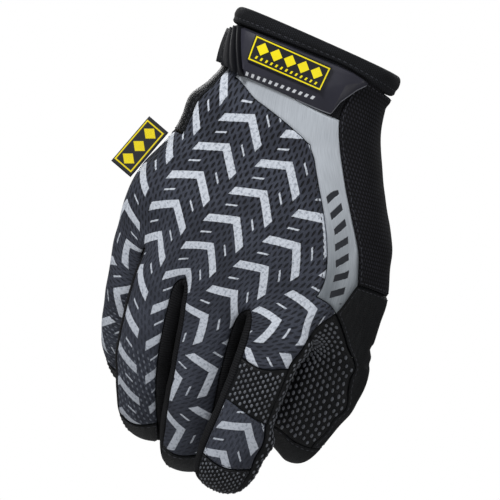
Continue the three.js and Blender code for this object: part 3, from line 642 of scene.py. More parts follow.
def panel_points(test):
    return np.unique(quads[np.isin(quad_panel, [i for i, name in enumerate(PANEL_NAMES) if test(name)])])


gusset = panel_points(lambda name: name.startswith("fourchette"))
palm = panel_points(lambda name: name == "palm_panel")
back = panel_points(lambda name: name != "palm_panel" and not name.startswith("fourchette"))
back_edge, palm_edge = np.intersect1d(gusset, back), np.intersect1d(gusset, palm)
from_back, from_palm = far_from(gusset, back_edge), far_from(gusset, palm_edge)
lean = np.zeros(len(skin))
lean[gusset] = smooth(from_back / (from_back + from_palm + TOUCHING))
lean[palm] = np.maximum(lean[palm], smooth(1 - far_from(palm, palm_edge) / LEAN_FADE))
relieved[:, 0] += lean * GAP_LEAN
normals, across_faces = vertex_normals(relieved, quads)
print("leaned:", (lean > 0).sum(), "of", len(skin), "points")

# %% [markdown]
# ## Sewn panels
#
# Each panel gets a wall of its own thickness inwards, and its edge stands a little back from its neighbour's.
# Where two panels are sewn and turned, their edges roll down into the seam. Patches that are sewn on top
# stand a little proud and have a crisp edge. The roll is a quarter circle worked out from the distance to the
# panel's border.

# %% Sizes of the panels
SEAM_GAP, MITRE_LIMIT = .3, 2
TURNED, LAID_ON = (.75, 2.4), (.35, .6)
# The wall, how far it stands proud, and the depth and width of the rolled edge, in millimetres.
PANELS = {
    "back_panel": (1.8, 0, TURNED), "silver_inlay": (1.8, .1, LAID_ON), "side_panel": (1.6, 0, TURNED),
    "cuff_band": (2.4, 0, LAID_ON), "palm_panel": (1.6, 0, TURNED),
    "fourchette_pinky_ring": (1.4, 0, TURNED), "fourchette_ring_middle": (1.4, 0, TURNED),
    "fourchette_middle_index": (1.4, 0, TURNED), "pinky_tip_patch": (1.6, .1, LAID_ON),
    "ring_tip_patch": (1.6, .1, LAID_ON), "middle_tip_patch": (1.6, .1, LAID_ON),
    "index_knuckle_grip": (1.8, .15, LAID_ON), "index_back_panel": (1.8, 0, TURNED),
    "index_side_grip": (1.8, 0, TURNED), "index_tip_grip": (1.8, .15, LAID_ON),
    "thumb_grip_panel": (1.8, 0, TURNED), "thumb_back_panel": (1.6, 0, TURNED),
    "thumb_tip_patch": (1.6, 0, TURNED),
}
print("walls:", min(p[0] for p in PANELS.values()), "to", max(p[0] for p in PANELS.values()), "mm")

# %% [markdown]
# A wall thins where the skin turns sharply, so that its inside can't cross itself. A face that looks another
# way than the mean of the faces round its corner shows such a turn.

# %% Walls
THINNEST, THINNING_POWER = .25, 6
wall_share = np.ones(len(skin))
for corner in range(4):
    facing = np.einsum("ij,ij->i", across_faces, normals[quads[:, corner]])
    np.minimum.at(wall_share, quads[:, corner], np.maximum(facing, 0) ** THINNING_POWER)
wall_share = np.maximum(wall_share, THINNEST)
print("thinnest share of a wall:", wall_share.min().round(2))

# %% [markdown]
# A border is found without any search: an inner edge is walked once in each direction by its two faces, so
# the edges of the border are those whose opposite isn't there. They can then be followed one after another.

# %% Borders
def border_of(corners, count):
    """The edges that only one face has, each in its face's direction."""
    edges = np.stack((corners.ravel(), np.roll(corners, -1, 1).ravel()), 1)
    return edges[~np.isin(edges @ (count, 1), edges @ (1, count))]


def chains(border):
    """The border's loops as lists of points, each closed with its first point."""
    after = dict(border.tolist())
    found = []
    while after:
        chain = [next(iter(after))]
        while chain[-1] in after:
            chain.append(after.pop(chain[-1]))
        found.append(chain)
    return found


mouth = border_of(quads, len(skin))
print("mouth:", len(mouth), "edges in", len(chains(mouth)), "loop")

# %% [markdown]
# A panel takes its own faces out of the skin. The points of its border move inwards by half the seam's gap.
# How far each point is from the border is kept, because the rolled edge and later the dots need it.

# %% One panel
class Panel:
    """One panel: its outer skin, its place in the flat cloth, and the edges of its border."""

    def __init__(self, name):
        self.name = name
        self.wall, self.stand, (self.depth, self.width) = PANELS[name]
        own = np.flatnonzero(quad_panel == PANEL_NAMES.index(name))
        self.used, local = np.unique(quads[own], return_inverse=True)
        self.quads, self.flat = local.reshape(-1, 4), flat[own]
        at, up, count = relieved[self.used], normals[self.used], len(self.used)
        self.border = border_of(self.quads, count)
        inwards = np.zeros_like(at)
        along = unit(at[self.border[:, 1]] - at[self.border[:, 0]])
        for end in (0, 1):
            np.add.at(inwards, self.border[:, end], unit(np.cross(up[self.border[:, end]], along)))
        inwards /= np.maximum((inwards ** 2).sum(1) / 2, 1 / MITRE_LIMIT)[:, None]
        inwards /= np.maximum(np.linalg.norm(inwards, axis=1) / MITRE_LIMIT, 1)[:, None]
        ends = np.concatenate((at[self.border[:, 0]], at[self.border].mean(1)))
        edge_tree = kd_tree(ends)
        self.away = np.array([edge_tree.find(p)[2] for p in at.tolist()])
        share = np.clip(1 - self.away / self.width, 0, 1)
        drop = self.depth * (1 - np.sqrt(1 - share ** 2))
        seat = at + inwards * SEAM_GAP / 2
        self.outer = seat + up * (self.stand - drop)[:, None]
        self.inner = seat - up * (self.wall * wall_share[self.used])[:, None]
        self.normals, _ = vertex_normals(self.outer, self.quads)


panels = {name: Panel(name) for name in PANEL_NAMES}
for name, panel in panels.items():
    print(f"{name:26s}{len(panel.border):5d} edges of border")

# %% [markdown]
# A mesh is filled from arrays of points and of corners, which is much quicker than adding faces one by one.
# Each piece rides on the glove's one body and takes the place of a solid.

# %% Make meshes
def new_mesh(name, at, corners, cloth=None, slots=None, is_smooth=True):
    """A mesh in millimetres, with its place in the cloth and its faces' slots where it has them."""
    made = bpy.data.meshes.new(name)
    faces = corners.tolist() if isinstance(corners, np.ndarray) else corners
    made.from_pydata((np.asarray(at) * MM).tolist(), [], faces)
    if is_smooth:
        made.shade_smooth()
    if cloth is not None:
        layer = made.uv_layers.new(name=FLAT)
        layer.uv.foreach_set("vector", np.asarray(cloth, np.float32).ravel())
    if slots is not None:
        made.polygons.foreach_set("material_index", np.asarray(slots, np.int32))
    return made


def place(obj, slot, *nodes):
    """Hands a piece to the frame, in the place of the solids named."""
    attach(obj, "root")
    if nodes:
        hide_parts(*nodes)
    return obj


print("one millimetre is", MM, "in the scene")

# %% [markdown]
# A panel of cloth is a closed solid: its outside, its inside and a rim that joins them. The outside carries
# its place in the flat cloth. The inside and the rim take a second finish, the lining's.

# %% Make the panels
def panel_object(panel, slot):
    count = len(panel.used)
    a, b = panel.border[:, 0], panel.border[:, 1]
    rim = np.stack((b, a, a + count, b + count), 1)
    inside = panel.quads[:, ::-1] + count
    corners = np.concatenate((panel.quads, inside, rim))
    cloth = np.concatenate((panel.flat, panel.flat[:, ::-1], np.zeros((len(rim), 4, 2))))
    slots = np.concatenate((np.zeros(len(panel.quads)), np.ones(len(inside) + len(rim))))
    obj = link(panel.name, new_mesh(panel.name, np.concatenate((panel.outer, panel.inner)),
                                    corners, cloth, slots))
    return place(obj, slot, panel.name)


SLOTS = {"back_panel": "mesh_cloth", "index_back_panel": "mesh_cloth", "silver_inlay": "inlay",
         "side_panel": "stretch_mesh", "cuff_band": "cuff_knit", "palm_panel": "palm_leather",
         "thumb_back_panel": "palm_leather", "thumb_tip_patch": "palm_leather",
         "pinky_tip_patch": "palm_leather", "ring_tip_patch": "palm_leather",
         "middle_tip_patch": "palm_leather", "index_knuckle_grip": "grip_leather",
         "index_side_grip": "grip_leather", "index_tip_grip": "grip_leather",
         "thumb_grip_panel": "grip_leather"}
pieces = {name: panel_object(panel, SLOTS.get(name, "gusset_knit")) for name, panel in panels.items()}
print("panels:", len(pieces), "faces:", sum(len(obj.data.polygons) for obj in pieces.values()))

# %% [markdown]
# ## Places on the cuff
#
# The closure bends round the cuff. A ray from the wrist's middle finds the cuff's outside at any angle and
# height, and a table turns millimetres round the cuff, its girth, into an angle. Flat drawings can then be
# laid on the cuff. The skin is used as it was before the waves and pushes, because the solids' closure lies
# on that one too.

# %% The cuff as a surface
WRIST = Vector((2, -.5, 0))
CUFF_REACH = -.3 * PALM_LENGTH
true_normals, _ = vertex_normals(skin, quads)
cuff_quads = quads[skin[quads][:, :, 2].max(1) > CUFF_REACH]
cuff_tree = BVHTree.FromPolygons(skin.tolist(), cuff_quads.tolist())


def cuff_at(angle, z):
    """The place on the cuff and its outwards direction, at an angle round the wrist and a height."""
    turn = math.radians(180 + angle)
    ahead = Vector((math.cos(turn), math.sin(turn), 0))
    hit, _, number, _ = cuff_tree.ray_cast(WRIST + Vector((0, 0, z)), ahead)
    corners = cuff_quads[number]
    shares = poly_3d_calc([Vector(c) for c in skin[corners]], hit)
    return np.array(hit), unit(np.array(shares) @ true_normals[corners])


print("faces of the cuff:", len(cuff_quads))

# %% [markdown]
# The girth is measured once, at the closure's height, in steps round the wrist. Between the steps it is read
# off the table, and the same table turns it back into an angle.

# %% Millimetres round the cuff
GIRTH_LEVEL, GIRTH_STEP = -.1406 * PALM_LENGTH, 3
angles = np.arange(-180, 180 + 1, GIRTH_STEP)
girth_points = np.array([cuff_at(a, GIRTH_LEVEL)[0] for a in angles])
girths = run_along(girth_points)


def on_cuff(girth, z, stand):
    point, normal = cuff_at(np.interp(girth, girths, angles), z)
    return point + normal * stand


def girth_of(x_share):
    """The girth at a share of the palm's width, on the back of the hand."""
    over = angles >= 0
    return float(np.interp(x_share * PALM_WIDTH, girth_points[over, 0], girths[over]))


print("girth of the cuff:", girths[-1].round(1), "mm")

# %% [markdown]
# ## The closure
#
# The tab is moulded rubber: a plate with a raised face and sloping edges. It is drawn as a section for each
# row of a table and lofted from one to the next, then a Bevel modifier softens its moulded edges.

# %% A loft through sections
def inside_out(at, faces):
    """Whether the faces of a closed solid look inwards."""
    first, second, third = (at[[face[k] for face in faces]] - at.mean(0) for k in (0, 1, 2))
    return np.einsum("ij,ij->", first, np.cross(second, third)) < 0


def loft(sections, closed=False):
    """Joins sections of equal length into one closed solid, with each corner's run along and round it."""
    at = np.array(sections)
    count, size = at.shape[:2]
    along, around = run_along(closed_up(at.mean(1))), run_along(closed_up(at[count // 2]))
    faces, cloth = [], []
    for s in range(count if closed else count - 1):
        t = (s + 1) % count
        for i in range(size):
            j = (i + 1) % size
            faces.append((s * size + i, s * size + j, t * size + j, t * size + i))
            cloth.append([(along[s], around[i]), (along[s], around[i + 1]),
                          (along[s + 1], around[i + 1]), (along[s + 1], around[i])])
    if not closed:
        for start in (0, (count - 1) * size):
            faces.append(tuple(range(start, start + size))[::-1 if start == 0 else 1])
            cloth.append([(k, 0) for k in range(size)])
    at = at.reshape(-1, 3)
    if inside_out(at, faces):
        faces, cloth = [f[::-1] for f in faces], [c[::-1] for c in cloth]
    return at, faces, [corner for face in cloth for corner in face]


print("a loft of two squares:", len(loft([[(x, y, z) for x, y in ((0, 0), (1, 0), (1, 1), (0, 1))]
                                          for z in (0, 1)])[1]), "faces")

# %% [markdown]
# Moulded rubber has no sharp edge. A Bevel modifier rounds the edges of a loft that are sharper than an
# angle, and it is applied at once, so that later steps can measure the rounded surface.

# %% Rounded edges
BEVEL_SEGMENTS = 2


def applied(obj, kind, **settings):
    """Adds a modifier, applies it and returns the object."""
    modifier = obj.modifiers.new(kind.lower(), kind)
    for key, value in settings.items():
        setattr(modifier, key, value)
    evaluated = obj.evaluated_get(bpy.context.evaluated_depsgraph_get())
    made = bpy.data.meshes.new_from_object(evaluated)
    obj.modifiers.clear()
    obj.data = made
    return obj


def bevelled(obj, width, sharpest):
    """Rounds the edges that are sharper than an angle in degrees."""
    return applied(obj, "BEVEL", width=width * MM, segments=BEVEL_SEGMENTS, limit_method="ANGLE",
                   angle_limit=math.radians(sharpest))


print("a rounded edge has", BEVEL_SEGMENTS, "segments")

# %% [markdown]
# The tab's outline was read off as rows across the hand: where its flange and its face start and end. At its
# left end it leans, so that its end lies along the strap's ribs, and at its right end the face runs out into
# a flat point.

# %% The tab's sizes
CLOSURE_GAP, TAB_EDGE, TAB_FACE, TAB_SKEW = .6, 1.5, 3.6, 4.4
TAB_LEFT, TAB_RIGHT, TAB_STATIONS, TAB_STEPS = -.2816, .2816, 49, 4
SKEW_OVER, POINT_FROM, POINT_OVER = .03, .249, .0326
TAB_FIELDS = ("x", "edge_top", "face_top", "face_bottom", "edge_bottom")
TAB_TABLE = np.array([
    (TAB_LEFT, -.0695, -.0773, -.2, -.2234), (-.2296, -.068, -.075, -.1977, -.2234),
    (-.1735, -.0664, -.0727, -.1945, -.2234), (-.1122, -.0648, -.0703, -.1898, -.2234),
    (-.0408, -.0633, -.068, -.1844, -.2234), (.0408, -.0609, -.0648, -.1766, -.2234),
    (.1092, -.0594, -.0633, -.168, -.2234), (.15, -.0594, -.0625, -.1391, -.2227),
    (.1908, -.0602, -.0633, -.1109, -.2203), (.2061, -.0609, -.0641, -.1, -.1688),
    (.249, -.0656, -.0688, -.0781, -.1094), (TAB_RIGHT, -.0719, -.0734, -.075, -.0781)])


def tab_row(x):
    return {key: float(np.interp(x, TAB_TABLE[:, 0], TAB_TABLE[:, k])) * (PALM_LENGTH if k else 1)
            for k, key in enumerate(TAB_FIELDS)}


def leaning(skew, top, bottom, z):
    """How far a line that leans by skew has moved at a height between its ends."""
    return -skew * (2 * z - top - bottom) / (top - bottom)


print("the tab's flange:", round(tab_row(0)["edge_top"] - tab_row(0)["edge_bottom"], 1), "mm high")

# %% [markdown]
# A section of the tab starts at its seat over the cuff, goes up the flange's edge, slopes to the raised face,
# runs across it and comes down the same way. Its middle lies on the seat too, so that the back follows the
# cuff.

# %% The tab
def tab_section(x):
    row = tab_row(x)
    top, bottom = row["edge_top"], row["edge_bottom"]
    skew = TAB_SKEW * max(0, 1 - (x - TAB_LEFT) / SKEW_OVER)
    face = mix(TAB_FACE, TAB_EDGE + SEAM_GAP, smooth((x - POINT_FROM) / POINT_OVER))
    profile = [(top, CLOSURE_GAP), (top, TAB_EDGE)]
    profile += [(mix(row["face_top"], row["face_bottom"], k / TAB_STEPS), face) for k in range(TAB_STEPS + 1)]
    profile += [(bottom, TAB_EDGE), (bottom, CLOSURE_GAP), (mix(top, bottom, .5), CLOSURE_GAP)]
    return [on_cuff(girth_of(x) + leaning(skew, top, bottom, z), z, stand) for z, stand in profile]


tab_places = sorted(set(np.linspace(TAB_LEFT, TAB_RIGHT, TAB_STATIONS).round(4)) | set(TAB_TABLE[:, 0]))
tab = link("closure_tab", new_mesh("closure_tab", *loft([tab_section(x) for x in tab_places])))
bevelled(tab, width=.35, sharpest=18)
place(tab, "closure_rubber", "closure_tab")
print("tab:", len(tab.data.polygons), "faces")

# %% [markdown]
# The badge is a plate on the tab's face. Its plain pattern of diamonds stands up from it, so it is drawn flat
# and laid on the cuff with everything else.

# %% The badge
BADGE = dict(left=-.2449, right=.1071, top=-.0734 * PALM_LENGTH, bottom=-.1672 * PALM_LENGTH)
BADGE_FLOOR, BADGE_THICKNESS, BADGE_STATIONS = TAB_FACE + CLOSURE_GAP, .7, 25
badge_girths = girth_of(BADGE["left"]), girth_of(BADGE["right"])


def on_badge(u, v, stand):
    """A point on the badge: u from its left end and v from its top, both in millimetres."""
    return on_cuff(badge_girths[0] + u, BADGE["top"] - v, BADGE_FLOOR + stand)


badge_length = badge_girths[1] - badge_girths[0]
badge_height = BADGE["top"] - BADGE["bottom"]
badge_profile = ((0, 0), (0, BADGE_THICKNESS), (badge_height, BADGE_THICKNESS), (badge_height, 0))
badge = link("closure_badge", new_mesh("closure_badge", *loft(
    [[on_badge(u, v, stand) for v, stand in badge_profile]
     for u in np.linspace(0, badge_length, BADGE_STATIONS)]), is_smooth=False))
bevelled(badge, width=.2, sharpest=30)
place(badge, "badge_print", "closure_badge")
print("badge:", round(badge_length, 1), "by", round(badge_height, 1), "mm")

# %% [markdown]
# The strap comes out from under the tab with a few round ribs and runs flat round the little finger's side of
# the wrist to the palm. It is lofted along its length, and over the ribs its height follows a wave.

# %% The strap
RIBS = dict(count=4, pitch=3.45, crest=4.4, valley=1.3, power=.6)
STRAP_TOP, STRAP_BOTTOM = -.0938 * PALM_LENGTH, -.207 * PALM_LENGTH
STRAP_THICKNESS, STRAP_REACH, STRAP_ROUND, STRAP_TAPER = 2, 66, 6, .45
STRAP_STATIONS, STRAP_STEPS = 49, 6
strap_start = girth_of(TAB_LEFT) - SEAM_GAP
ribs_end = RIBS["count"] * RIBS["pitch"]
strap_level = (STRAP_TOP + STRAP_BOTTOM) / 2
tab_end = tab_row(TAB_LEFT)


def strap_section(along):
    wave = .5 - .5 * math.cos(2 * math.pi * along / RIBS["pitch"])
    stand = (mix(RIBS["valley"], RIBS["crest"], wave ** RIBS["power"]) if along < ribs_end
             else STRAP_THICKNESS + CLOSURE_GAP)
    narrow = smooth(along / ribs_end)
    tip = STRAP_TAPER * smooth((along - STRAP_REACH + STRAP_ROUND) / STRAP_ROUND)
    high = mix(mix(tab_end["edge_top"], STRAP_TOP, narrow), strap_level, tip)
    low = mix(mix(tab_end["edge_bottom"], STRAP_BOTTOM, narrow), strap_level, tip)
    profile = [(high, CLOSURE_GAP)]
    profile += [(mix(high, low, k / STRAP_STEPS), stand) for k in range(STRAP_STEPS + 1)]
    profile += [(low, CLOSURE_GAP), ((high + low) / 2, CLOSURE_GAP)]
    return [on_cuff(strap_start - along + leaning(TAB_SKEW * (1 - narrow), high, low, z), z, stand)
            for z, stand in profile]


strap_places = np.concatenate((np.linspace(0, ribs_end, STRAP_STATIONS),
                               np.linspace(ribs_end, STRAP_REACH, STRAP_STATIONS + 1)[1:]))
strap = link("closure_strap", new_mesh("closure_strap", *loft([strap_section(far) for far in strap_places])))
bevelled(strap, width=.4, sharpest=40)
place(strap, "strap_rubber", "closure_strap")
print("strap:", len(strap.data.polygons), "faces")

# %% [markdown]
# ## The hem
#
# The mouth is bound with a thick padded roll. It is a loft round the mouth with a rounded section, and a seam
# is sewn through the roll near its outer lower edge, so the section has a soft dent there.

# %% The hem
HEM_THICKNESS, HEM_OFFSET, HEM_ROUNDING, HEM_POINTS = 6.4, -.6, 2.7, 40
DENT_POINT, DENT_DEPTH, DENT_WIDTH = 38, .6, 1.3
LEVEL = np.array((1, 1, 0))


def squared(t):
    return math.copysign(abs(t) ** (2 / HEM_ROUNDING), t)


def hem_section(i):
    outwards = unit(true_normals[i] * LEVEL)
    half_height = (skin[i][2] + SEAM_GAP) / 2
    section = []
    for k, turn in enumerate(turns(HEM_POINTS)):
        dent = DENT_DEPTH * math.exp(-((k - DENT_POINT) / DENT_WIDTH) ** 2)
        reach = HEM_OFFSET + HEM_THICKNESS / 2 * squared(math.cos(turn)) - dent
        section.append(skin[i] * LEVEL + outwards * reach
                       + np.array((0, 0, half_height - half_height * squared(math.sin(turn)))))
    return section


hem_sections = [hem_section(i) for i in chains(mouth)[0][:-1]]
hem = link("cuff_hem", new_mesh("cuff_hem", *loft(hem_sections, closed=True)))
place(hem, "cuff_knit", "cuff_hem")
print("hem:", len(hem_sections), "sections")

# %% [markdown]
# ## The side label
#
# A woven label is a strip folded in two and sewn into the seam, so it is modelled as a strip with a fold.

# %% The label's strip
LABEL = dict(length=26.5, reach=11.5, layer=.6, fold=1.9, tilt=16.5)
LABEL_PLACE = np.array((-.4949 * PALM_WIDTH, .1447 * PALM_THICKNESS, -.6094 * PALM_LENGTH))
LAYER_POINTS, FOLD_POINTS, LABEL_STATIONS = 14, 9, 28
bend = LABEL["reach"] - LABEL["fold"] / 2
fold_radius = LABEL["fold"] / 2 - LABEL["layer"] / 2
middle_line = np.array(
    [(u, -fold_radius) for u in np.linspace(0, bend, LAYER_POINTS)]
    + [(bend + fold_radius * math.cos(a), fold_radius * math.sin(a))
       for a in np.linspace(-math.pi / 2, math.pi / 2, FOLD_POINTS)[1:-1]]
    + [(u, fold_radius) for u in np.linspace(bend, 0, LAYER_POINTS)])

# %% [markdown]
# The strip's outline stands on both sides of its middle line. It is lofted along the hand, tilted as the seam
# is there, and it rests on the back panel.

# %% The label
tilt = math.radians(LABEL["tilt"])
ahead = unit(np.gradient(middle_line, axis=0))
half_layer = np.stack((ahead[:, 1], -ahead[:, 0]), 1) * LABEL["layer"] / 2
strip_outline = np.concatenate((middle_line + half_layer, (middle_line - half_layer)[::-1]))


def on_label(u, v, w):
    """From the label's own reach, thickness and length to the frame."""
    return LABEL_PLACE + np.array((w * math.sin(tilt) - u * math.cos(tilt), -v,
                                   w * math.cos(tilt) + u * math.sin(tilt)))


label = link("side_label", new_mesh("side_label", *loft(
    [[on_label(u, v, w) for u, v in strip_outline]
     for w in np.linspace(-.5, .5, LABEL_STATIONS) * LABEL["length"]])))
place(label, "label_weave", "side_label")
print("label:", len(label.data.polygons), "faces")

# %% [markdown]
# ## Grip dots
#
# The gripping patches carry rows of small raised dots. A texture of dots would look flat from the side, so
# each dot is a low dome. Its place is chosen in the flat cloth, in staggered rows. A ray through the flat
# panel finds the triangle it falls on, and the same shares of that triangle's corners give the place and the
# tilt on the glove.

# %% From the flat cloth to the glove
NO_AREA = 1e-9


class Laid:
    """Finds places of the flat cloth on a panel's outside."""

    def __init__(self, panel):
        halves = ((0, 1, 2), (0, 2, 3))
        self.panel = panel
        self.corners = panel.quads[:, halves].reshape(-1, 3)
        self.flat = panel.flat[:, halves].reshape(-1, 3, 2)
        count = self.corners.size
        level = np.concatenate((self.flat.reshape(-1, 2), np.zeros((count, 1))), 1)
        self.tree = BVHTree.FromPolygons(level.tolist(), np.arange(count).reshape(-1, 3).tolist())

    def at(self, u, v):
        """Place, outwards, along u, along v, and the distance to the border, or None beside the panel."""
        _, _, number, _ = self.tree.ray_cast(Vector((u, v, 1)), Vector((0, 0, -1)))
        if number is None:
            return None
        ids, (a, b, c) = self.corners[number], self.flat[number]
        (b_u, b_v), (c_u, c_v) = b - a, c - a
        area = b_u * c_v - c_u * b_v
        if abs(area) < NO_AREA:
            return None
        second = ((u - a[0]) * c_v - (v - a[1]) * c_u) / area
        third = ((v - a[1]) * b_u - (u - a[0]) * b_v) / area
        shares = np.array((1 - second - third, second, third))
        corner = self.panel.outer[ids]
        e1, e2 = corner[1] - corner[0], corner[2] - corner[0]
        along_u = unit((e1 * c_v - e2 * b_v) / area)
        normal = unit(shares @ self.panel.normals[ids])
        along_u = unit(along_u - normal * (along_u @ normal))
        return shares @ corner, normal, along_u, np.cross(normal, along_u), shares @ self.panel.away[ids]


print("triangles of the thumb's dotted panel:", len(Laid(panels["thumb_grip_panel"]).corners))

# %% [markdown]
# A dome is a few rings of points over its foot, and the foot sinks a little into the cloth so that no gap
# shows. All the domes of a panel become one mesh.

# %% One dome
DOME_SIDES, DOME_FOOT = 10, .12
DOME_ROWS = ((1, .04), (.82, .62), (.42, .93))  # share of the radius, share of the height


def dome(centre, normal, along_u, along_v, half_u, half_v, height):
    """Points and faces of one closed low dome."""
    sides, angle = DOME_SIDES, turns(DOME_SIDES)
    around = np.outer(np.cos(angle) * half_u, along_u) + np.outer(np.sin(angle) * half_v, along_v)
    rings = [centre + around - normal * DOME_FOOT]
    rings += [centre + around * share + normal * (rise * height) for share, rise in DOME_ROWS]
    made = [tuple(range(sides))[::-1]]
    for low in range(0, (len(rings) - 1) * sides, sides):
        made += [(low + i, low + (i + 1) % sides, low + sides + (i + 1) % sides, low + sides + i)
                 for i in range(sides)]
    last = (len(rings) - 1) * sides
    made += [(last + i, last + (i + 1) % sides, last + sides) for i in range(sides)]
    return np.concatenate(rings + [[centre + normal * height]]), made


def gathered(solids):
    """Many small solids as one list of points and one of faces."""
    at, made, start = [], [], 0
    for solid_points, solid_faces, *_ in solids:
        at.append(solid_points)
        made += [tuple(i + start for i in face) for face in solid_faces]
        start += len(solid_points)
    return np.concatenate(at), made


print("rings of a dome:", 1 + len(DOME_ROWS))

# %% [markdown]
# Moulded dots aren't quite alike, so each is moved and sized by a little. No dot is cut by a seam: one whose
# middle is too near the border is left out.

# %% Dots
DOT_FIELDS = ("spacing", "step", "half_u", "half_v", "height", "margin")
DOTS = {"thumb_grip_panel": (4.4, 1.8, .72, 1.15, .5, 1.9), "index_side_grip": (3.9, 1.6, .62, .95, .3, 1.6),
        "index_knuckle_grip": (3.6, 1.5, .62, .9, .45, 1.2), "index_tip_grip": (2.9, 1.25, .5, .7, .35, 1.1)}
DOT_SEED, DOT_DRIFT, DOT_SIZES = 11, .08, (.9, 1.05)


def dots_of(panel, rng, spacing, step, half_u, half_v, height, margin):
    """The domes of one panel, in staggered rows of its flat cloth."""
    laid = Laid(panel)
    low, high = panel.flat.reshape(-1, 2).min(0), panel.flat.reshape(-1, 2).max(0)
    domes = []
    for row, v in enumerate(np.arange(low[1], high[1], step)):
        for u in np.arange(low[0] + (row % 2) * spacing / 2, high[0], spacing):
            found = laid.at(u + rng.normal() * DOT_DRIFT, v + rng.normal() * DOT_DRIFT)
            if found and found[4] > margin:
                size = rng.uniform(*DOT_SIZES)
                domes.append(dome(*found[:4], half_u * size, half_v * size, height * size))
    return domes


dot_draws = np.random.default_rng(DOT_SEED)
for name, sizes in DOTS.items():
    domes = dots_of(panels[name], dot_draws, **dict(zip(DOT_FIELDS, sizes)))
    dots = link(name + "_dots", new_mesh(name + "_dots", *gathered(domes)))
    pieces[name + "_dots"] = place(dots, "grip_leather")
    print(f"{name:26s}{len(domes):5d} dots")

# %% [markdown]
# ## Stitches
#
# Panels are sewn with thread. Each stitch is a short capsule that dips into the cloth at both ends. The
# seam's line runs a fixed distance inside a panel's border, and every stitch sits on the nearest place of the
# panel's outside.

# %% One stitch
STITCH = dict(length=2, pitch=2.9, radius=.24, rise=.22)
THREAD_SIDES, THREAD_SECTIONS, THREAD_END, THREAD_SUNK = 6, 5, .45, .6


def stitch(ends, normal):
    """A thread from one end to the other, humped in its middle."""
    start, end = ends
    sides, radius, angle = THREAD_SIDES, STITCH["radius"], turns(THREAD_SIDES)
    side = unit(np.cross(normal, unit(end - start)))
    at = []
    for t in np.linspace(0, 1, THREAD_SECTIONS):
        hump = math.sin(math.pi * t)
        thick = radius * mix(THREAD_END, 1, hump)
        centre = mix(start, end, t) + normal * (STITCH["rise"] * hump - radius * THREAD_SUNK)
        at += [centre + side * thick * math.cos(a) + normal * thick * math.sin(a) for a in angle]
    last = (THREAD_SECTIONS - 1) * sides
    made = [tuple(range(sides)), tuple(range(last, last + sides))[::-1]]
    for low in range(0, last, sides):
        made += [(low + (i + 1) % sides, low + i, low + sides + i, low + sides + (i + 1) % sides)
                 for i in range(sides)]
    return np.array(at), made


def stitch_ends(line, beside=None):
    """Both ends of each stitch along a line, or the places beside them on a second line."""
    run, source = run_along(line), line if beside is None else beside
    for s in np.arange(1, run[-1] - STITCH["length"], STITCH["pitch"]):
        yield np.array([[np.interp(s + step, run, source[:, k]) for k in range(3)]
                        for step in (0, STITCH["length"])])


print("stitches in 100 mm:", round(100 / STITCH["pitch"]))

# %% [markdown]
# Each seam is a row of a table: the panel, how far inside its border the thread runs, and where it is seen.
# The hem has one seam of its own, in its dent.

# %% Seams
def everywhere(p):
    return True


TIP_PATCHES = ("pinky_tip_patch", "ring_tip_patch", "middle_tip_patch", "index_tip_grip")
TIP_INSET, TIP_DEPTH = 1.3, 60
SEAMS = [(name, TIP_INSET, lambda p: p[1] < TIP_DEPTH) for name in TIP_PATCHES] + [
    ("thumb_back_panel", 1.6, everywhere), ("back_panel", 1.9, lambda p: p[0] > 20 and p[2] > -118),
    ("index_back_panel", 1.4, everywhere), ("thumb_tip_patch", 1.5, everywhere),
    ("side_panel", 1.7, everywhere), ("palm_panel", 1.7, lambda p: p[2] < -40)]


def sew(name, inset, keep):
    """A row of stitches inside a panel's border, where keep allows it."""
    panel = panels[name]
    tree = BVHTree.FromPolygons(panel.outer.tolist(), panel.quads.tolist())
    sewn = []
    for chain in chains(panel.border):
        at = panel.outer[chain]
        inwards = unit(np.cross(panel.normals[chain], np.gradient(at, axis=0)))
        for ends in stitch_ends(at + inwards * inset):
            seats = [tree.find_nearest(Vector(p)) for p in ends]
            on_it = np.array([seat[0] for seat in seats])
            if max(seat[3] for seat in seats) > inset or not keep(on_it.mean(0)):
                continue
            sewn.append(stitch(on_it, unit(np.array(seats[0][1]) + seats[1][1])))
    return sewn


threads = [made for seam in SEAMS for made in sew(*seam)]
hem_at = np.array(hem_sections)
hem_seam, hem_core = closed_up(hem_at[:, DENT_POINT]), closed_up(hem_at.mean(1))
threads += [stitch(ends, unit((ends - cores).mean(0)))
            for ends, cores in zip(stitch_ends(hem_seam), stitch_ends(hem_seam, hem_core))]
stitches = place(link("stitches", new_mesh("stitches", *gathered(threads))), "gusset_knit")
print("stitches:", len(threads))

# %% [markdown]
# ## Marks on the closure
#
# The badge is black with a yellow border and a row of plain diamonds, and the tab's lower slope has a row of
# small slanted bars. All are thin solids drawn flat and laid on the surface below. Long edges are cut into
# short ones first, so that they bend with the cuff.

# %% Flat drawings as solids
LONGEST_EDGE = 2


def cut_edges(outline):
    cut = []
    for a, b in zip(outline, outline[1:] + outline[:1]):
        parts = max(1, math.ceil(math.dist(a, b) / LONGEST_EDGE))
        cut += [(mix(a[0], b[0], k / parts), mix(a[1], b[1], k / parts)) for k in range(parts)]
    return cut


def ribbon(outline, width, on, low, high):
    """A frame: a band of a width inside a rectangle, laid with on(u, v, stand)."""
    (left, top), _, (right, bottom), _ = outline
    outside = cut_edges(outline)
    inner = [(min(max(u, left + width), right - width), min(max(v, top + width), bottom - width))
             for u, v in outside]
    return loft([[on(*a, low), on(*a, high), on(*b, high), on(*b, low)] for a, b in zip(outside, inner)],
                closed=True)


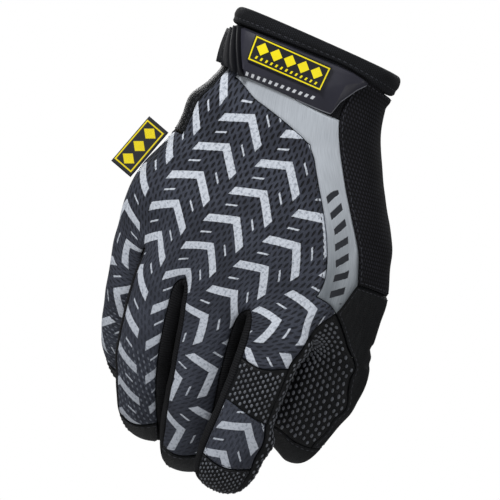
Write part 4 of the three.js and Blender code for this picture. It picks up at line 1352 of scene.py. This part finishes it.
def plate(outline, on, low, high):
    """A thin solid with a flat drawing's outline."""
    outline = cut_edges(outline)
    count = len(outline)
    middle = tuple(sum(p[k] for p in outline) / count for k in (0, 1))
    at = np.array([on(u, v, low) for u, v in outline] + [on(u, v, high) for u, v in outline]
                  + [on(*middle, low), on(*middle, high)])
    made = []
    for i in range(count):
        j = (i + 1) % count
        made += [(i, j, count + j, count + i), (count + i, count + j, 2 * count + 1), (j, i, 2 * count)]
    return at, [f[::-1] for f in made] if inside_out(at, made) else made


def slanted_bar(u, foot, head, width, slant):
    return [(u, foot), (u + slant, head), (u + slant + width, head), (u + width, foot)]


print("a bar's outline:", slanted_bar(0, 0, 1, .8, .4))

# %% [markdown]
# The badge's marks stand a little above its face, and their feet are sunk in it so that they can't float.

# %% The badge's marks
MARK_TOP, MARK_FOOT = BADGE_THICKNESS + .18, BADGE_THICKNESS - .1
BORDER = dict(inset=.7, width=.55)
DIAMONDS = dict(count=5, half_length=2.75, half_height=2.9, level=5, spread=.35)
BADGE_BARS = dict(count=13, inset=2.6, back=.5, foot=9.9, head=8.6, width=.8, slant=.4)


def diamond(k):
    half_u, half_v, v = DIAMONDS["half_length"], DIAMONDS["half_height"], DIAMONDS["level"]
    from_middle = k - (DIAMONDS["count"] - 1) / 2
    u = badge_length * (k + 1) / (DIAMONDS["count"] + 1) + from_middle * DIAMONDS["spread"]
    return [(u - half_u, v), (u, v - half_v), (u + half_u, v), (u, v + half_v)]


def badge_bar(k):
    u = BADGE_BARS["inset"] + (badge_length - 2 * BADGE_BARS["inset"]) * (k + .5) / BADGE_BARS["count"]
    return slanted_bar(u - BADGE_BARS["back"], BADGE_BARS["foot"], BADGE_BARS["head"], BADGE_BARS["width"],
                       BADGE_BARS["slant"])


near, far_u, far_v = BORDER["inset"], badge_length - BORDER["inset"], badge_height - BORDER["inset"]
marks = [ribbon([(near, near), (far_u, near), (far_u, far_v), (near, far_v)], BORDER["width"], on_badge,
                MARK_FOOT, MARK_TOP)]
outlines = [diamond(k) for k in range(DIAMONDS["count"])] + [badge_bar(k) for k in range(BADGE_BARS["count"])]
marks += [plate(outline, on_badge, MARK_FOOT, MARK_TOP) for outline in outlines]
badge_marks = link("badge_marks", new_mesh("badge_marks", *gathered(marks), is_smooth=False))
place(badge_marks, "badge_print")
print("badge marks:", len(marks))

# %% [markdown]
# The tab's slope isn't a surface with a formula, since its edges were bevelled. So a ray from well outside
# finds it.

# %% The row of bars on the tab's slope
RAY_FROM = 12
TAB_BARS = dict(count=12, left=-.235, right=.085, level=.47, back=.85, half_height=.8, width=1.3, slant=.5)
BAR_FOOT, BAR_TOP = -.1, .12
tab_tree = BVHTree.FromPolygons((read(tab.data.vertices, "co", 3) / MM).tolist(),
                                [tuple(p.vertices) for p in tab.data.polygons])


def on_tab(girth, z, stand):
    """A point over the tab's outside, found by a ray from well outside it towards the cuff."""
    start, end = on_cuff(girth, z, RAY_FROM), on_cuff(girth, z, 0)
    hit, normal, _, _ = tab_tree.ray_cast(Vector(start), Vector(end - start))
    return np.array(hit) + np.array(normal) * stand


def tab_bar(k):
    share = k / (TAB_BARS["count"] - 1)
    row = tab_row(mix(TAB_BARS["left"], TAB_BARS["right"], share))
    girth = mix(girth_of(TAB_BARS["left"]), girth_of(TAB_BARS["right"]), share)
    z = mix(row["face_bottom"], row["edge_bottom"], TAB_BARS["level"])
    return slanted_bar(girth - TAB_BARS["back"], z - TAB_BARS["half_height"], z + TAB_BARS["half_height"],
                       TAB_BARS["width"], TAB_BARS["slant"])


bars = [plate(tab_bar(k), on_tab, BAR_FOOT, BAR_TOP) for k in range(TAB_BARS["count"])]
tab_bars = place(link("tab_bars", new_mesh("tab_bars", *gathered(bars), is_smooth=False)), "closure_rubber")
print("bars on the tab:", len(bars))

# %% [markdown]
# A thin light line follows the tab's lower right edge, where its flange meets the cuff. It is a round bead
# swept along that edge.

# %% The flange's bead
BEAD = dict(left=.02, stations=60, inset=.3, stand=1.05, radius=.34)
BEAD_SIDES = 8


def sweep(line, radius):
    """A closed tube of a radius along points."""
    line = np.asarray(line)
    ahead = unit(np.gradient(line, axis=0))
    side = unit(np.cross(ahead, (0, 0, 1)) + TOUCHING)
    return loft([[p + s * math.cos(a) * radius + out * math.sin(a) * radius for a in turns(BEAD_SIDES)]
                 for p, s, out in zip(line, side, np.cross(side, ahead))])


bead_line = [on_cuff(girth_of(x), tab_row(x)["edge_bottom"] - BEAD["inset"], BEAD["stand"])
             for x in np.linspace(BEAD["left"], TAB_RIGHT, BEAD["stations"])]
bead = link("closure_bead", new_mesh("closure_bead", *sweep(bead_line, BEAD["radius"])))
place(bead, "closure_rubber")
print("bead:", run_along(bead_line)[-1].round(1), "mm")

# %% [markdown]
# ## Shader maths as plain maths
#
# A material is a graph of nodes, and its maths is hard to read when each node is placed by hand. Here a
# socket is wrapped in a small class, and adding or multiplying two of them adds the Math node that does it. A
# second class holds one material, and its one method makes any other node. Millimetres are used throughout,
# as on the cloth.

# %% Colours
SRGB_DARK, SRGB_SLOPE, SRGB_SHIFT, SRGB_POWER = 10, 3294.6, .055, 2.4


def srgb(*colour):
    """A colour picked as three numbers up to 255, as Blender's linear one."""
    return tuple(c / SRGB_SLOPE if c <= SRGB_DARK
                 else ((c / 255 + SRGB_SHIFT) / (1 + SRGB_SHIFT)) ** SRGB_POWER for c in colour) + (1,)


print("middle grey:", round(srgb(128)[0], 3))

# %% [markdown]
# A value knows the finish it belongs to, so that a sum of two values can add its node there. Python looks for
# the reflected operators when the plain number stands first, as in one minus a value.

# %% Values
class Value:
    """A socket that can stand in a sum."""

    def __init__(self, finish, socket):
        self.finish, self.socket = finish, socket

    def __add__(self, other):
        return self.finish.math("ADD", self, other)

    def __sub__(self, other):
        return self.finish.math("SUBTRACT", self, other)

    def __rsub__(self, other):
        return self.finish.math("SUBTRACT", other, self)

    def __mul__(self, other):
        return self.finish.math("MULTIPLY", self, other)

    def __truediv__(self, other):
        return self.finish.math("DIVIDE", self, other)

    def __abs__(self):
        return self.finish.math("ABSOLUTE", self)

    __radd__, __rmul__ = __add__, __mul__


print("sums that a value can stand in:", [name for name in vars(Value) if name.startswith("__r")])

# %% [markdown]
# A finish is one material. What is the same all over it is set on the shader itself, and only what varies is
# fed by nodes. Its pattern starts from the place in the flat cloth, or along another map of the mesh. The
# irregular parts of all the cloths are soft noise, so their scales stand together in one table.

# %% Finishes
# Waves in each millimetre along the two directions, and how much finer detail is added.
NOISES = {"sway": (.12, .12, 2), "thread": (2.6, .9, 3), "shade": (.05, .05, 2), "wobble": (.9, .9, 2),
          "wear": (.8, .8, 4), "streaks": (3.2, .12, 4), "dents": (.08, .08, 2), "fuzz": (3, 3, 3),
          "patches": (.06, .06, 2), "cloud": (.07, .07, 3), "creases": (.35, .12, 3)}


class Finish:
    """One material, with what its shader has all over given by name."""

    def __init__(self, name, **constants):
        self.material = bpy.data.materials.new(name)
        self.material.use_nodes = True
        self.tree = self.material.node_tree
        self.shader = self.tree.nodes["Principled BSDF"]
        for key, value in constants.items():
            self.shader.inputs[key.replace("_", " ")].default_value = value

    def node(self, kind, settings=(), inputs=(), out=0):
        made = self.tree.nodes.new("ShaderNode" + kind)
        for key, value in dict(settings).items():
            setattr(made, key, value)
        for key, value in dict(inputs).items():
            if isinstance(value, Value):
                self.tree.links.new(value.socket, made.inputs[key])
            else:
                made.inputs[key].default_value = value
        return Value(self, made.outputs[out])

    def math(self, operation, *values):
        return self.node("Math", dict(operation=operation), enumerate(values))

    def feed(self, **values):
        for key, value in values.items():
            self.tree.links.new(value.socket, self.shader.inputs[key.replace("_", " ")])

    def cloth(self, turn=0, layer=FLAT):
        """The place in the flat cloth, in millimetres, along directions turned by some degrees."""
        place = self.node("UVMap", dict(uv_map=layer))
        u, v = (self.node("SeparateXYZ", inputs={0: place}, out=i) for i in (0, 1))
        if not turn:
            return u, v
        c, s = math.cos(math.radians(turn)), math.sin(math.radians(turn))
        return u * c + v * s, v * c - u * s

    def noise(self, kind, u, v):
        along_u, along_v, detail = NOISES[kind]
        at = self.node("CombineXYZ", inputs={0: u * along_u, 1: v * along_v})
        return self.node("TexNoise", dict(noise_dimensions="2D"),
                         {"Vector": at, "Scale": 1, "Detail": detail})

    def step(self, value, low, high):
        """0 below low and 1 above high, or the other way round."""
        return self.node("MapRange", dict(interpolation_type="SMOOTHSTEP"),
                         {"Value": value, "From Min": low, "From Max": high})

    def mix(self, share, first, second):
        return self.node("Mix", dict(data_type="RGBA"), {0: share, 6: first, 7: second}, 2)

    def bump(self, height):
        self.feed(Normal=self.node("Bump", inputs={"Height": height, "Distance": MM, "Strength": 1}))


def dress(obj, *finishes):
    """Gives an object its finishes, one for each of its slots."""
    obj.data.materials.clear()
    for finish in finishes:
        obj.data.materials.append(finish.material)


print("methods of a finish:", [name for name in vars(Finish) if not name.startswith("_")])

# %% [markdown]
# Knits and meshes repeat: the same small mark stands in columns, and every second column is shifted by half a
# step. One helper gives the place inside such a cell, measured from the cell's middle.

# %% Repeating marks
OVAL_OUTSIDE, OVAL_INSIDE = 1.7, .4


def cells(finish, u, v, width, length, shift=.5):
    column = finish.math("FLOOR", u / width)
    x = (finish.math("FRACT", u / width) - .5) * width
    y = (finish.math("FRACT", v / length + column * shift) - .5) * length
    return x, y


def oval(finish, x, y, half_width, half_length):
    """1 in the middle of an oval, falling to 0 outside it."""
    a, b = x / half_width, y / half_length
    return finish.step(a * a + b * b, OVAL_OUTSIDE, OVAL_INSIDE)


print("an oval fades between", OVAL_INSIDE, "and", OVAL_OUTSIDE, "of its size, squared")

# %% [markdown]
# The inside of every panel shows at the cuff's mouth. It is a plain dark knit with small loops.

# %% The lining
LINING = dict(cell=(1.1, 1.3), loop=(.5, .6), height=.15, dark=srgb(14, 14, 16), light=srgb(38, 39, 43))
lining = Finish("lining", Roughness=.95)
u, v = lining.cloth()
loops = oval(lining, *cells(lining, u, v, *LINING["cell"]), *LINING["loop"])
lining.feed(Base_Color=lining.mix(loops, LINING["dark"], LINING["light"]))
lining.bump(loops * LINING["height"])
print("nodes in the lining:", len(lining.tree.nodes))

# %% [markdown]
# ## The printed mesh back
#
# The back is a soft grey mesh with narrow dark holes that run along the hand. A plain noise would look like
# stone, so the holes are drawn as ovals in staggered cells, and a little noise moves them so that they aren't
# ruled. Towards the fingertips the holes are fainter, and near the tips the cloth shows small pale specks.

# %% The mesh's ground
MESH = dict(turn=-5, sway=1.6, cell=(1.8, 4.6), hole=(.44, 1.5), hole_depth=.45, thread_depth=.12)
HOLES = dict(faint_at=-175, clear_at=-55, least=.4, more=.55)
SPECKS = dict(cell=(2.2, 3.1), size=(.4, .8), slope=.6, none_at=-176, full_at=-182, strength=.55)
SHADE = dict(none_at=.3, full_at=.75, strength=.7)
THREAD_COLOURS = srgb(38, 41, 51), srgb(80, 85, 98)
SHADE_COLOUR, HOLE_COLOUR, SPECK_COLOUR = srgb(42, 45, 55), srgb(9, 10, 14), srgb(132, 139, 151)


def mesh_ground(f, u, v):
    """The unprinted mesh: its colour, its height and how much each place is a hole."""
    sway = f.noise("sway", u, v) * MESH["sway"]
    hole = oval(f, *cells(f, u + sway, v + sway, *MESH["cell"]), *MESH["hole"])
    hole = hole * (f.step(v, HOLES["faint_at"], HOLES["clear_at"]) * HOLES["more"] + HOLES["least"])
    thread = f.noise("thread", u, v)
    shade = f.step(f.noise("shade", u, v), SHADE["none_at"], SHADE["full_at"]) * SHADE["strength"]
    grey = f.mix(shade, f.mix(thread, *THREAD_COLOURS), SHADE_COLOUR)
    specks = oval(f, *cells(f, u, v, *SPECKS["cell"]), *SPECKS["size"])
    specks = specks * f.step(v + u * SPECKS["slope"], SPECKS["none_at"], SPECKS["full_at"])
    colour = f.mix(specks * SPECKS["strength"], f.mix(hole, grey, HOLE_COLOUR), SPECK_COLOUR)
    return colour, thread * MESH["thread_depth"] - hole * MESH["hole_depth"], hole


print("a hole's cell:", MESH["cell"], "mm")

# %% [markdown]
# The print is a plain motif: a light tread of chevrons, with short dashes between them. A chevron is a band
# whose height rises with the distance from its column's middle, so one folded measure draws both of its arms.

# %% The print's tread
CHEVRON = dict(width=25, gap=1.8, pitch=17.5, slope=.8, share=.28, turn=-16, shift=5.1, wobble=.35, soft=.3)
DASH = dict(half_height=.65, half_length=2.1, beside=6.2, soft_height=.25, soft_length=.3)


def tread(f, u, v):
    """1 where the print lies and 0 beside it."""
    width, pitch, soft = CHEVRON["width"], CHEVRON["pitch"], CHEVRON["soft"]
    s, t = f.cloth(CHEVRON["turn"])
    s = s + f.noise("wobble", u, v) * CHEVRON["wobble"]
    beside = abs(f.math("FRACT", s / width) - .5) * width
    along = t + beside * CHEVRON["slope"] + f.math("FLOOR", s / width) * CHEVRON["shift"]
    band = f.math("FRACT", along / pitch) * pitch
    arm, edge = pitch * CHEVRON["share"], width / 2 - CHEVRON["gap"]
    arms = f.step(abs(band - arm / 2), arm / 2, arm / 2 - soft) * f.step(beside, edge, edge - soft)
    dash_at = arm + (pitch - arm) / 2
    high, long = DASH["half_height"], DASH["half_length"]
    dashes = (f.step(abs(band - dash_at), high, high - DASH["soft_height"])
              * f.step(abs(beside - DASH["beside"]), long, long - DASH["soft_length"]))
    return f.math("MAXIMUM", arms, dashes)


print("a chevron's arm:", round(CHEVRON["pitch"] * CHEVRON["share"], 1), "mm")

# %% [markdown]
# The print is a little smoother than the cloth, worn in places, darker towards the fingertips, and it fills
# the mesh's holes in part.

# %% Mesh cloth
PRINT = dict(worn=srgb(160, 167, 179), fresh=srgb(208, 214, 224), far=srgb(132, 139, 153),
             pit=srgb(120, 126, 136))
WORN_FROM, FRESH_FROM, FAR_FROM, FAR_TO, FAR_STRENGTH, PIT_STRENGTH = .28, .5, -85, -190, .3, .22
CLOTH_ROUGHNESS, PRINT_GLOSS, PRINT_FILL, PRINT_HEIGHT = .85, .3, .7, .12


def mesh_cloth(name):
    f = Finish(name, Roughness=CLOTH_ROUGHNESS, Specular_IOR_Level=.3)
    u, v = f.cloth(MESH["turn"])
    colour, height, hole = mesh_ground(f, u, v)
    ink = tread(f, u, v)
    pale = f.mix(f.step(f.noise("wear", u, v), WORN_FROM, FRESH_FROM), PRINT["worn"], PRINT["fresh"])
    pale = f.mix(f.step(v, FAR_FROM, FAR_TO) * FAR_STRENGTH, pale, PRINT["far"])
    pale = f.mix(hole * PIT_STRENGTH, pale, PRINT["pit"])
    f.feed(Base_Color=f.mix(ink, colour, pale), Roughness=CLOTH_ROUGHNESS - ink * PRINT_GLOSS)
    f.bump(height * (1 - ink * PRINT_FILL) + ink * PRINT_HEIGHT)
    return f


printed_mesh = mesh_cloth("printed_mesh")
dress(pieces["back_panel"], printed_mesh, lining)
dress(pieces["index_back_panel"], mesh_cloth("index_mesh"), lining)
print("nodes in the printed mesh:", len(printed_mesh.tree.nodes))

# %% [markdown]
# ## The silver inlay
#
# The inlay is a smooth coated strip, brushed along its length. Its colour has painted light at the top and
# painted shade towards its point, as if lit from above.
# A row of slanted slots shows the dark mesh under it. The strip bends, so the slots can't follow the flat
# cloth: each corner of the strip's mesh is given its distance along the strip's middle line and across it
# instead.

# %% Along the inlay
STRIP, LINE_POINTS, IN_STRIP = "strip", 400, .1
inlay = pieces["silver_inlay"]
strip_line = np.array([((row["strip_left"] + row["strip_right"]) / 2 * PALM_WIDTH,
                        mix(row["z_strip"], row["z_radial"], IN_STRIP) * PALM_LENGTH)
                       for row in PALM_SECTIONS[1:]])
line_rows = np.linspace(0, len(strip_line) - 1, LINE_POINTS)
dense = np.stack([np.interp(line_rows, range(len(strip_line)), strip_line[:, k]) for k in (0, 1)], 1)
far_along = run_along(dense)
headings = unit(np.gradient(dense, axis=0))
inlay_at = read(inlay.data.vertices, "co", 3)[:, (0, 2)] / MM
nearest = np.array([np.argmin(((dense - p) ** 2).sum(1)) for p in inlay_at])
off = inlay_at - dense[nearest]
beside_line = off[:, 1] * headings[nearest, 0] - off[:, 0] * headings[nearest, 1]
inlay_corners = read(inlay.data.loops, "vertex_index", 1, np.int32)
strip_map = np.stack((far_along[nearest], beside_line), 1)[inlay_corners]
inlay.data.uv_layers.new(name=STRIP).uv.foreach_set("vector", strip_map.astype(np.float32).ravel())
print("inlay:", far_along[-1].round(1), "mm long")

# %% [markdown]
# Fine streaks along the strip make it look brushed. A slot is a cell of a slanted row that is narrower than its
# step, and it is matt and not metallic. The streaks and the slots both show in the relief.

# %% Inlay
SILVER = dict(metal=.25, dull=.42, gloss=.34, streak_dull=.16, painted_shade_from=36, painted_shade_to=108)
SILVER_RELIEF = dict(streaks=.03, slot=.35, dents=.1)
PAINTED_LIGHT_SILVER = srgb(168, 175, 183), srgb(208, 214, 222)
PAINTED_SHADE_SILVER = srgb(92, 99, 105), srgb(136, 143, 149)
SLOT_COLOUR, SLOT_DULL = srgb(34, 37, 44), .4
SLOT = dict(pitch=7.4, slope=.55, half_width=1.75, soft=.3, half_length=3.1, first=46, last=97.5, soft_end=.5)
silver = Finish("silver_inlay", Metallic=SILVER["metal"], Roughness=SILVER["dull"])
along, beside = silver.cloth(layer=STRIP)
u, v = silver.cloth()
streaks = silver.noise("streaks", beside, along)
dents = silver.noise("dents", u, v)
# Painted light and painted shade: the strip's colour fades from a lit top to a shaded point.
silver_with_painted_light = silver.mix(silver.step(along, SILVER["painted_shade_from"], SILVER["painted_shade_to"]),
                  silver.mix(streaks, *PAINTED_LIGHT_SILVER), silver.mix(streaks, *PAINTED_SHADE_SILVER))
across_slot = silver.math("FRACT", (along + beside * SLOT["slope"]) / SLOT["pitch"]) - .5
slot = silver.step(abs(across_slot * SLOT["pitch"]), SLOT["half_width"], SLOT["half_width"] - SLOT["soft"])
slot = slot * silver.step(abs(beside), SLOT["half_length"], SLOT["half_length"] - SLOT["soft"])
slot = slot * silver.step(along, SLOT["first"], SLOT["first"] + SLOT["soft_end"])
slot = slot * silver.step(along, SLOT["last"], SLOT["last"] - SLOT["soft_end"])
silver.feed(Base_Color=silver.mix(slot, silver_with_painted_light, SLOT_COLOUR),
            Metallic=SILVER["metal"] - slot * SILVER["metal"],
            Roughness=SILVER["gloss"] + streaks * SILVER["streak_dull"] + slot * SLOT_DULL)
silver.bump(streaks * SILVER_RELIEF["streaks"] - slot * SILVER_RELIEF["slot"]
            + dents * SILVER_RELIEF["dents"])
dress(inlay, silver, lining)
print("slots:", int((SLOT["last"] - SLOT["first"]) / SLOT["pitch"]) + 1)

# %% [markdown]
# ## Black cloths
#
# The side panel is a stretch knit whose stitches stand in diagonal rows, the cuff and the hem are a finer
# knit, and the gussets between the fingers have narrow ribs. Each is one repeated mark at its own size.

# %% Knits
KNIT_ROUGHNESS, KNIT_FUZZ, FUZZ_HEIGHT = .9, .35, .08
GLOW = dict(none_at=.25, full_at=.8, least=.5)


def knit(name, dark, light, cell, mark, depth, turn=0):
    """A knit of one repeated mark, from a dark and a light colour and sizes in millimetres."""
    f = Finish(name, Roughness=KNIT_ROUGHNESS, Specular_IOR_Level=.25)
    u, v = f.cloth(turn)
    fuzz = f.noise("fuzz", u, v)
    loop = oval(f, *cells(f, u, v, *cell), *mark)
    glow = f.step(f.noise("patches", u, v), GLOW["none_at"], GLOW["full_at"])
    glow = glow * (1 - GLOW["least"]) + GLOW["least"]
    colour = f.mix(loop * glow, srgb(*dark), srgb(*light))
    f.feed(Base_Color=f.mix(fuzz * KNIT_FUZZ, colour, srgb(*dark)))
    f.bump(loop * depth + fuzz * FUZZ_HEIGHT)
    return f


side_knit = knit("side_knit", (8, 8, 11), (46, 47, 55), (1.25, 2.3), (.42, .72), .3, turn=38)
cuff_knit = knit("cuff_knit", (8, 9, 11), (40, 42, 48), (.9, 1.3), (.35, .5), .2)
rib_knit = knit("rib_knit", (6, 6, 8), (28, 29, 33), (1.1, .8), (.4, .8), .25)
for name in ("fourchette_pinky_ring", "fourchette_ring_middle", "fourchette_middle_index"):
    dress(pieces[name], rib_knit, lining)
dress(pieces["side_panel"], side_knit, lining)
dress(pieces["cuff_band"], cuff_knit, lining)
dress(hem, cuff_knit)
print("nodes in a knit:", len(side_knit.tree.nodes))

# %% [markdown]
# ## Synthetic leather
#
# The palm and the fingertips are a thin synthetic leather: nearly smooth, with a fine grain of small cells
# and shallow creases. Voronoi cells give the grain, and a stretched noise the creases.

# %% Leather
GRAIN = dict(scale=1.1, edge=.28, gloss=.12, height=.07)
CREASE_HEIGHT = .6


def leather(name, base, light, roughness):
    f = Finish(name, Roughness=roughness, Specular_IOR_Level=.18)
    u, v = f.cloth()
    at = f.node("CombineXYZ", inputs={0: u, 1: v})
    grain = f.node("TexVoronoi", dict(voronoi_dimensions="2D", feature="DISTANCE_TO_EDGE"),
                   {"Vector": at, "Scale": GRAIN["scale"]})
    grain = f.step(grain, 0, GRAIN["edge"])
    cloud, creases = f.noise("cloud", u, v), f.noise("creases", u, v)
    f.feed(Base_Color=f.mix(cloud * grain, srgb(*base), srgb(*light)),
           Roughness=roughness - grain * GRAIN["gloss"])
    f.bump(grain * GRAIN["height"] + creases * CREASE_HEIGHT)
    return f


leathers = {"palm_leather": leather("palm_leather", (8, 9, 11), (24, 27, 31), .6),
            "grip_leather": leather("grip_leather", (6, 7, 9), (20, 22, 26), .58)}
for name in PANEL_NAMES:
    if SLOTS.get(name) in leathers:
        dress(pieces[name], leathers[SLOTS[name]], lining)
print("panels of leather:", sum(SLOTS.get(name) in leathers for name in PANEL_NAMES))

# %% [markdown]
# ## Moulded rubber
#
# Moulded rubber has one colour and a fine even grain, and a slow cloud of handling marks. It isn't cut from
# flat cloth, so its noise is solid and reads the place in the object itself. The tab, the strap, the badge,
# the prints on them, the dots and the thread differ only in colour and in how dull they are. The dots' light
# grey is a painted highlight on dark rubber.

# %% Rubber
GRAIN_SIZE, CLOUD_SIZE, GRAIN_HEIGHT, CLOUD_GLOSS = .35 * MM, 12 * MM, .04, .1
OBJECT_PLACE = 3  # the Object output of the Texture Coordinate node


def rubber(name, base, light, roughness):
    f = Finish(name, Roughness=roughness, Specular_IOR_Level=.35)
    at = f.node("TexCoord", out=OBJECT_PLACE)
    grain = f.node("TexNoise", inputs={"Vector": at, "Scale": 1 / GRAIN_SIZE, "Detail": 2})
    cloud = f.node("TexNoise", inputs={"Vector": at, "Scale": 1 / CLOUD_SIZE, "Detail": 3})
    f.feed(Base_Color=f.mix(cloud, srgb(*base), srgb(*light)), Roughness=roughness - cloud * CLOUD_GLOSS)
    f.bump(grain * GRAIN_HEIGHT)
    return f


dress(tab, rubber("closure_rubber", (34, 34, 44), (50, 50, 61), .5))
dress(strap, rubber("strap_rubber", (8, 9, 12), (22, 23, 29), .5))
dress(badge, rubber("badge_black", (16, 16, 20), (26, 26, 31), .5))
# The dots are dark rubber, and their light grey is a painted highlight.
dot_painted_highlight = rubber("dot_painted_highlight", (54, 56, 62), (118, 122, 130), .36)
for name in DOTS:
    dress(pieces[name + "_dots"], dot_painted_highlight)
dress(stitches, rubber("thread", (36, 37, 42), (66, 68, 76), .8))
dress(badge_marks, rubber("yellow_print", (246, 222, 0), (255, 240, 24), .45))
dress(tab_bars, rubber("white_print", (205, 208, 214), (232, 235, 240), .5))
dress(bead, rubber("bead_rubber", (92, 94, 102), (130, 132, 140), .45))
print("nodes in a rubber:", len(dot_painted_highlight.tree.nodes))

# %% [markdown]
# ## The woven label
#
# The label is black, with a plain yellow frame and three diamonds woven in. Its flat strip is measured along
# the hand and from one sewn edge round the fold to the other, so the front half starts behind the fold. The
# frame is the outline of a rectangle seen as a distance, and the outer diamonds are the middle one moved
# along by a step.

# %% Woven label
WOVEN_FIELD = dict(margin=1.7, low=13, high=22.9)
FRAME_LINE = dict(inside=.35, half_width=.42, soft=.2)
WOVEN_DIAMOND = dict(pitch=7.4, half_length=3.1, slope=.86, soft=.3, switch=.01)
WEAVE = dict(cell=(.55, .4), mark=(.3, .24), height=.06, yellow_height=.08)
WOVEN_GROUND, WOVEN_YELLOW = (srgb(14, 14, 17), srgb(34, 35, 40)), (srgb(226, 200, 0), srgb(250, 228, 16))
woven = Finish("woven_label", Roughness=.7)
a, b = woven.cloth()
half_long = LABEL["length"] / 2 - WOVEN_FIELD["margin"]
half_high = (WOVEN_FIELD["high"] - WOVEN_FIELD["low"]) / 2
across = abs(b - (WOVEN_FIELD["low"] + half_high))
along = abs(a - LABEL["length"] / 2)
edge = woven.math("MAXIMUM", across - half_high, along - half_long)
line_edge = FRAME_LINE["half_width"], FRAME_LINE["half_width"] - FRAME_LINE["soft"]
frame_line = woven.step(abs(edge + FRAME_LINE["inside"]), *line_edge)
next_at = WOVEN_DIAMOND["pitch"] / 2
outer = woven.step(along, next_at - WOVEN_DIAMOND["switch"], next_at + WOVEN_DIAMOND["switch"])
beside = abs(along - WOVEN_DIAMOND["pitch"] * outer)
shape = woven.step(beside + across * WOVEN_DIAMOND["slope"], WOVEN_DIAMOND["half_length"],
                   WOVEN_DIAMOND["half_length"] - WOVEN_DIAMOND["soft"])
weave = oval(woven, *cells(woven, a, b, *WEAVE["cell"]), *WEAVE["mark"])
yellow = woven.math("MAXIMUM", frame_line, shape)
woven.feed(Base_Color=woven.mix(yellow, woven.mix(weave, *WOVEN_GROUND), woven.mix(weave, *WOVEN_YELLOW)))
woven.bump(weave * WEAVE["height"] + yellow * WEAVE["yellow_height"])
dress(label, woven)
print("nodes in the woven label:", len(woven.tree.nodes))

# %% [markdown]
# ## Light and floor
#
# A studio hangs a glove in front of white paper and lights it with large soft boxes. The camera sees a white
# world, but the world lights the glove only a little, so that the soft boxes give it shape.

# %% The world
WORLD_LIGHT, WORLD_SEEN = .1, 1
world = bpy.data.worlds.new("studio")
bpy.context.scene.world = world
world.use_nodes = True
tree = world.node_tree
background = tree.nodes["Background"]
background.inputs["Color"].default_value = (1, 1, 1, 1)
seen = tree.nodes.new("ShaderNodeLightPath")
strength = tree.nodes.new("ShaderNodeMapRange")
strength.inputs["To Min"].default_value = WORLD_LIGHT
strength.inputs["To Max"].default_value = WORLD_SEEN
tree.links.new(seen.outputs["Is Camera Ray"], strength.inputs["Value"])
tree.links.new(strength.outputs["Result"], background.inputs["Strength"])
bpy.context.scene.view_settings.view_transform = "Standard"
print("the world gives", WORLD_LIGHT, "of the light it shows")

# %% [markdown]
# The key light stands high on the left, as the photograph's shadows tell. Two weak boxes soften it from the
# front and from the thumb's side, one from behind draws the edges, and a large one lights the palm.

# %% Soft boxes
def soft_box(name, at, size, power):
    """A rectangular light at a place in metres, turned towards the glove."""
    light = bpy.data.lights.new(name, "AREA")
    light.shape = "RECTANGLE"
    light.size, light.size_y = size
    light.energy = power
    obj = link(name, light)
    obj.location = at
    obj.rotation_euler = (AIM - Vector(at)).to_track_quat("-Z", "Y").to_euler()


soft_box("key", (-.95, -.95, .7), (.45, .45), 21)
soft_box("front", (.15, -1.5, .3), (.6, .6), 4)
soft_box("side", (1, -.35, -.1), (.3, .9), 3)
soft_box("rim", (.3, .9, .7), (.6, .6), 5)
soft_box("back", (-.5, 1.4, .3), (.9, .9), 16)
print("lights:", len(bpy.data.lights))

# %% [markdown]
# The glove hangs in the air, so the floor is a round sheet of white paper far below it.

# %% Floor
FLOOR_LEVEL, FLOOR_RADIUS, FLOOR_SIDES = -1.2, 3, 96
floor_mesh = bpy.data.meshes.new("floor")
floor_mesh.from_pydata([(FLOOR_RADIUS * math.cos(a), FLOOR_RADIUS * math.sin(a), FLOOR_LEVEL)
                        for a in turns(FLOOR_SIDES)], [], [tuple(range(FLOOR_SIDES))])
floor = link("floor", floor_mesh)
dress(floor, Finish("paper", Roughness=.9, Base_Color=(.8, .8, .8, 1)))
floor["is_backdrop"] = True
print("floor:", 2 * FLOOR_RADIUS, "m wide")

# %% [markdown]
# ## Sizes
#
# The finished pieces are meant to be as large as the solids they replace, so both boxes are measured, kept and
# printed.

# %% Finish
visual_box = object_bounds()
for axis, low, high, cad_low, cad_high in zip("xyz", *visual_box, *cad_box):
    print(axis, "visual", round((high - low) / MM, 1), "solids", round((cad_high - cad_low) / MM, 1), "mm")
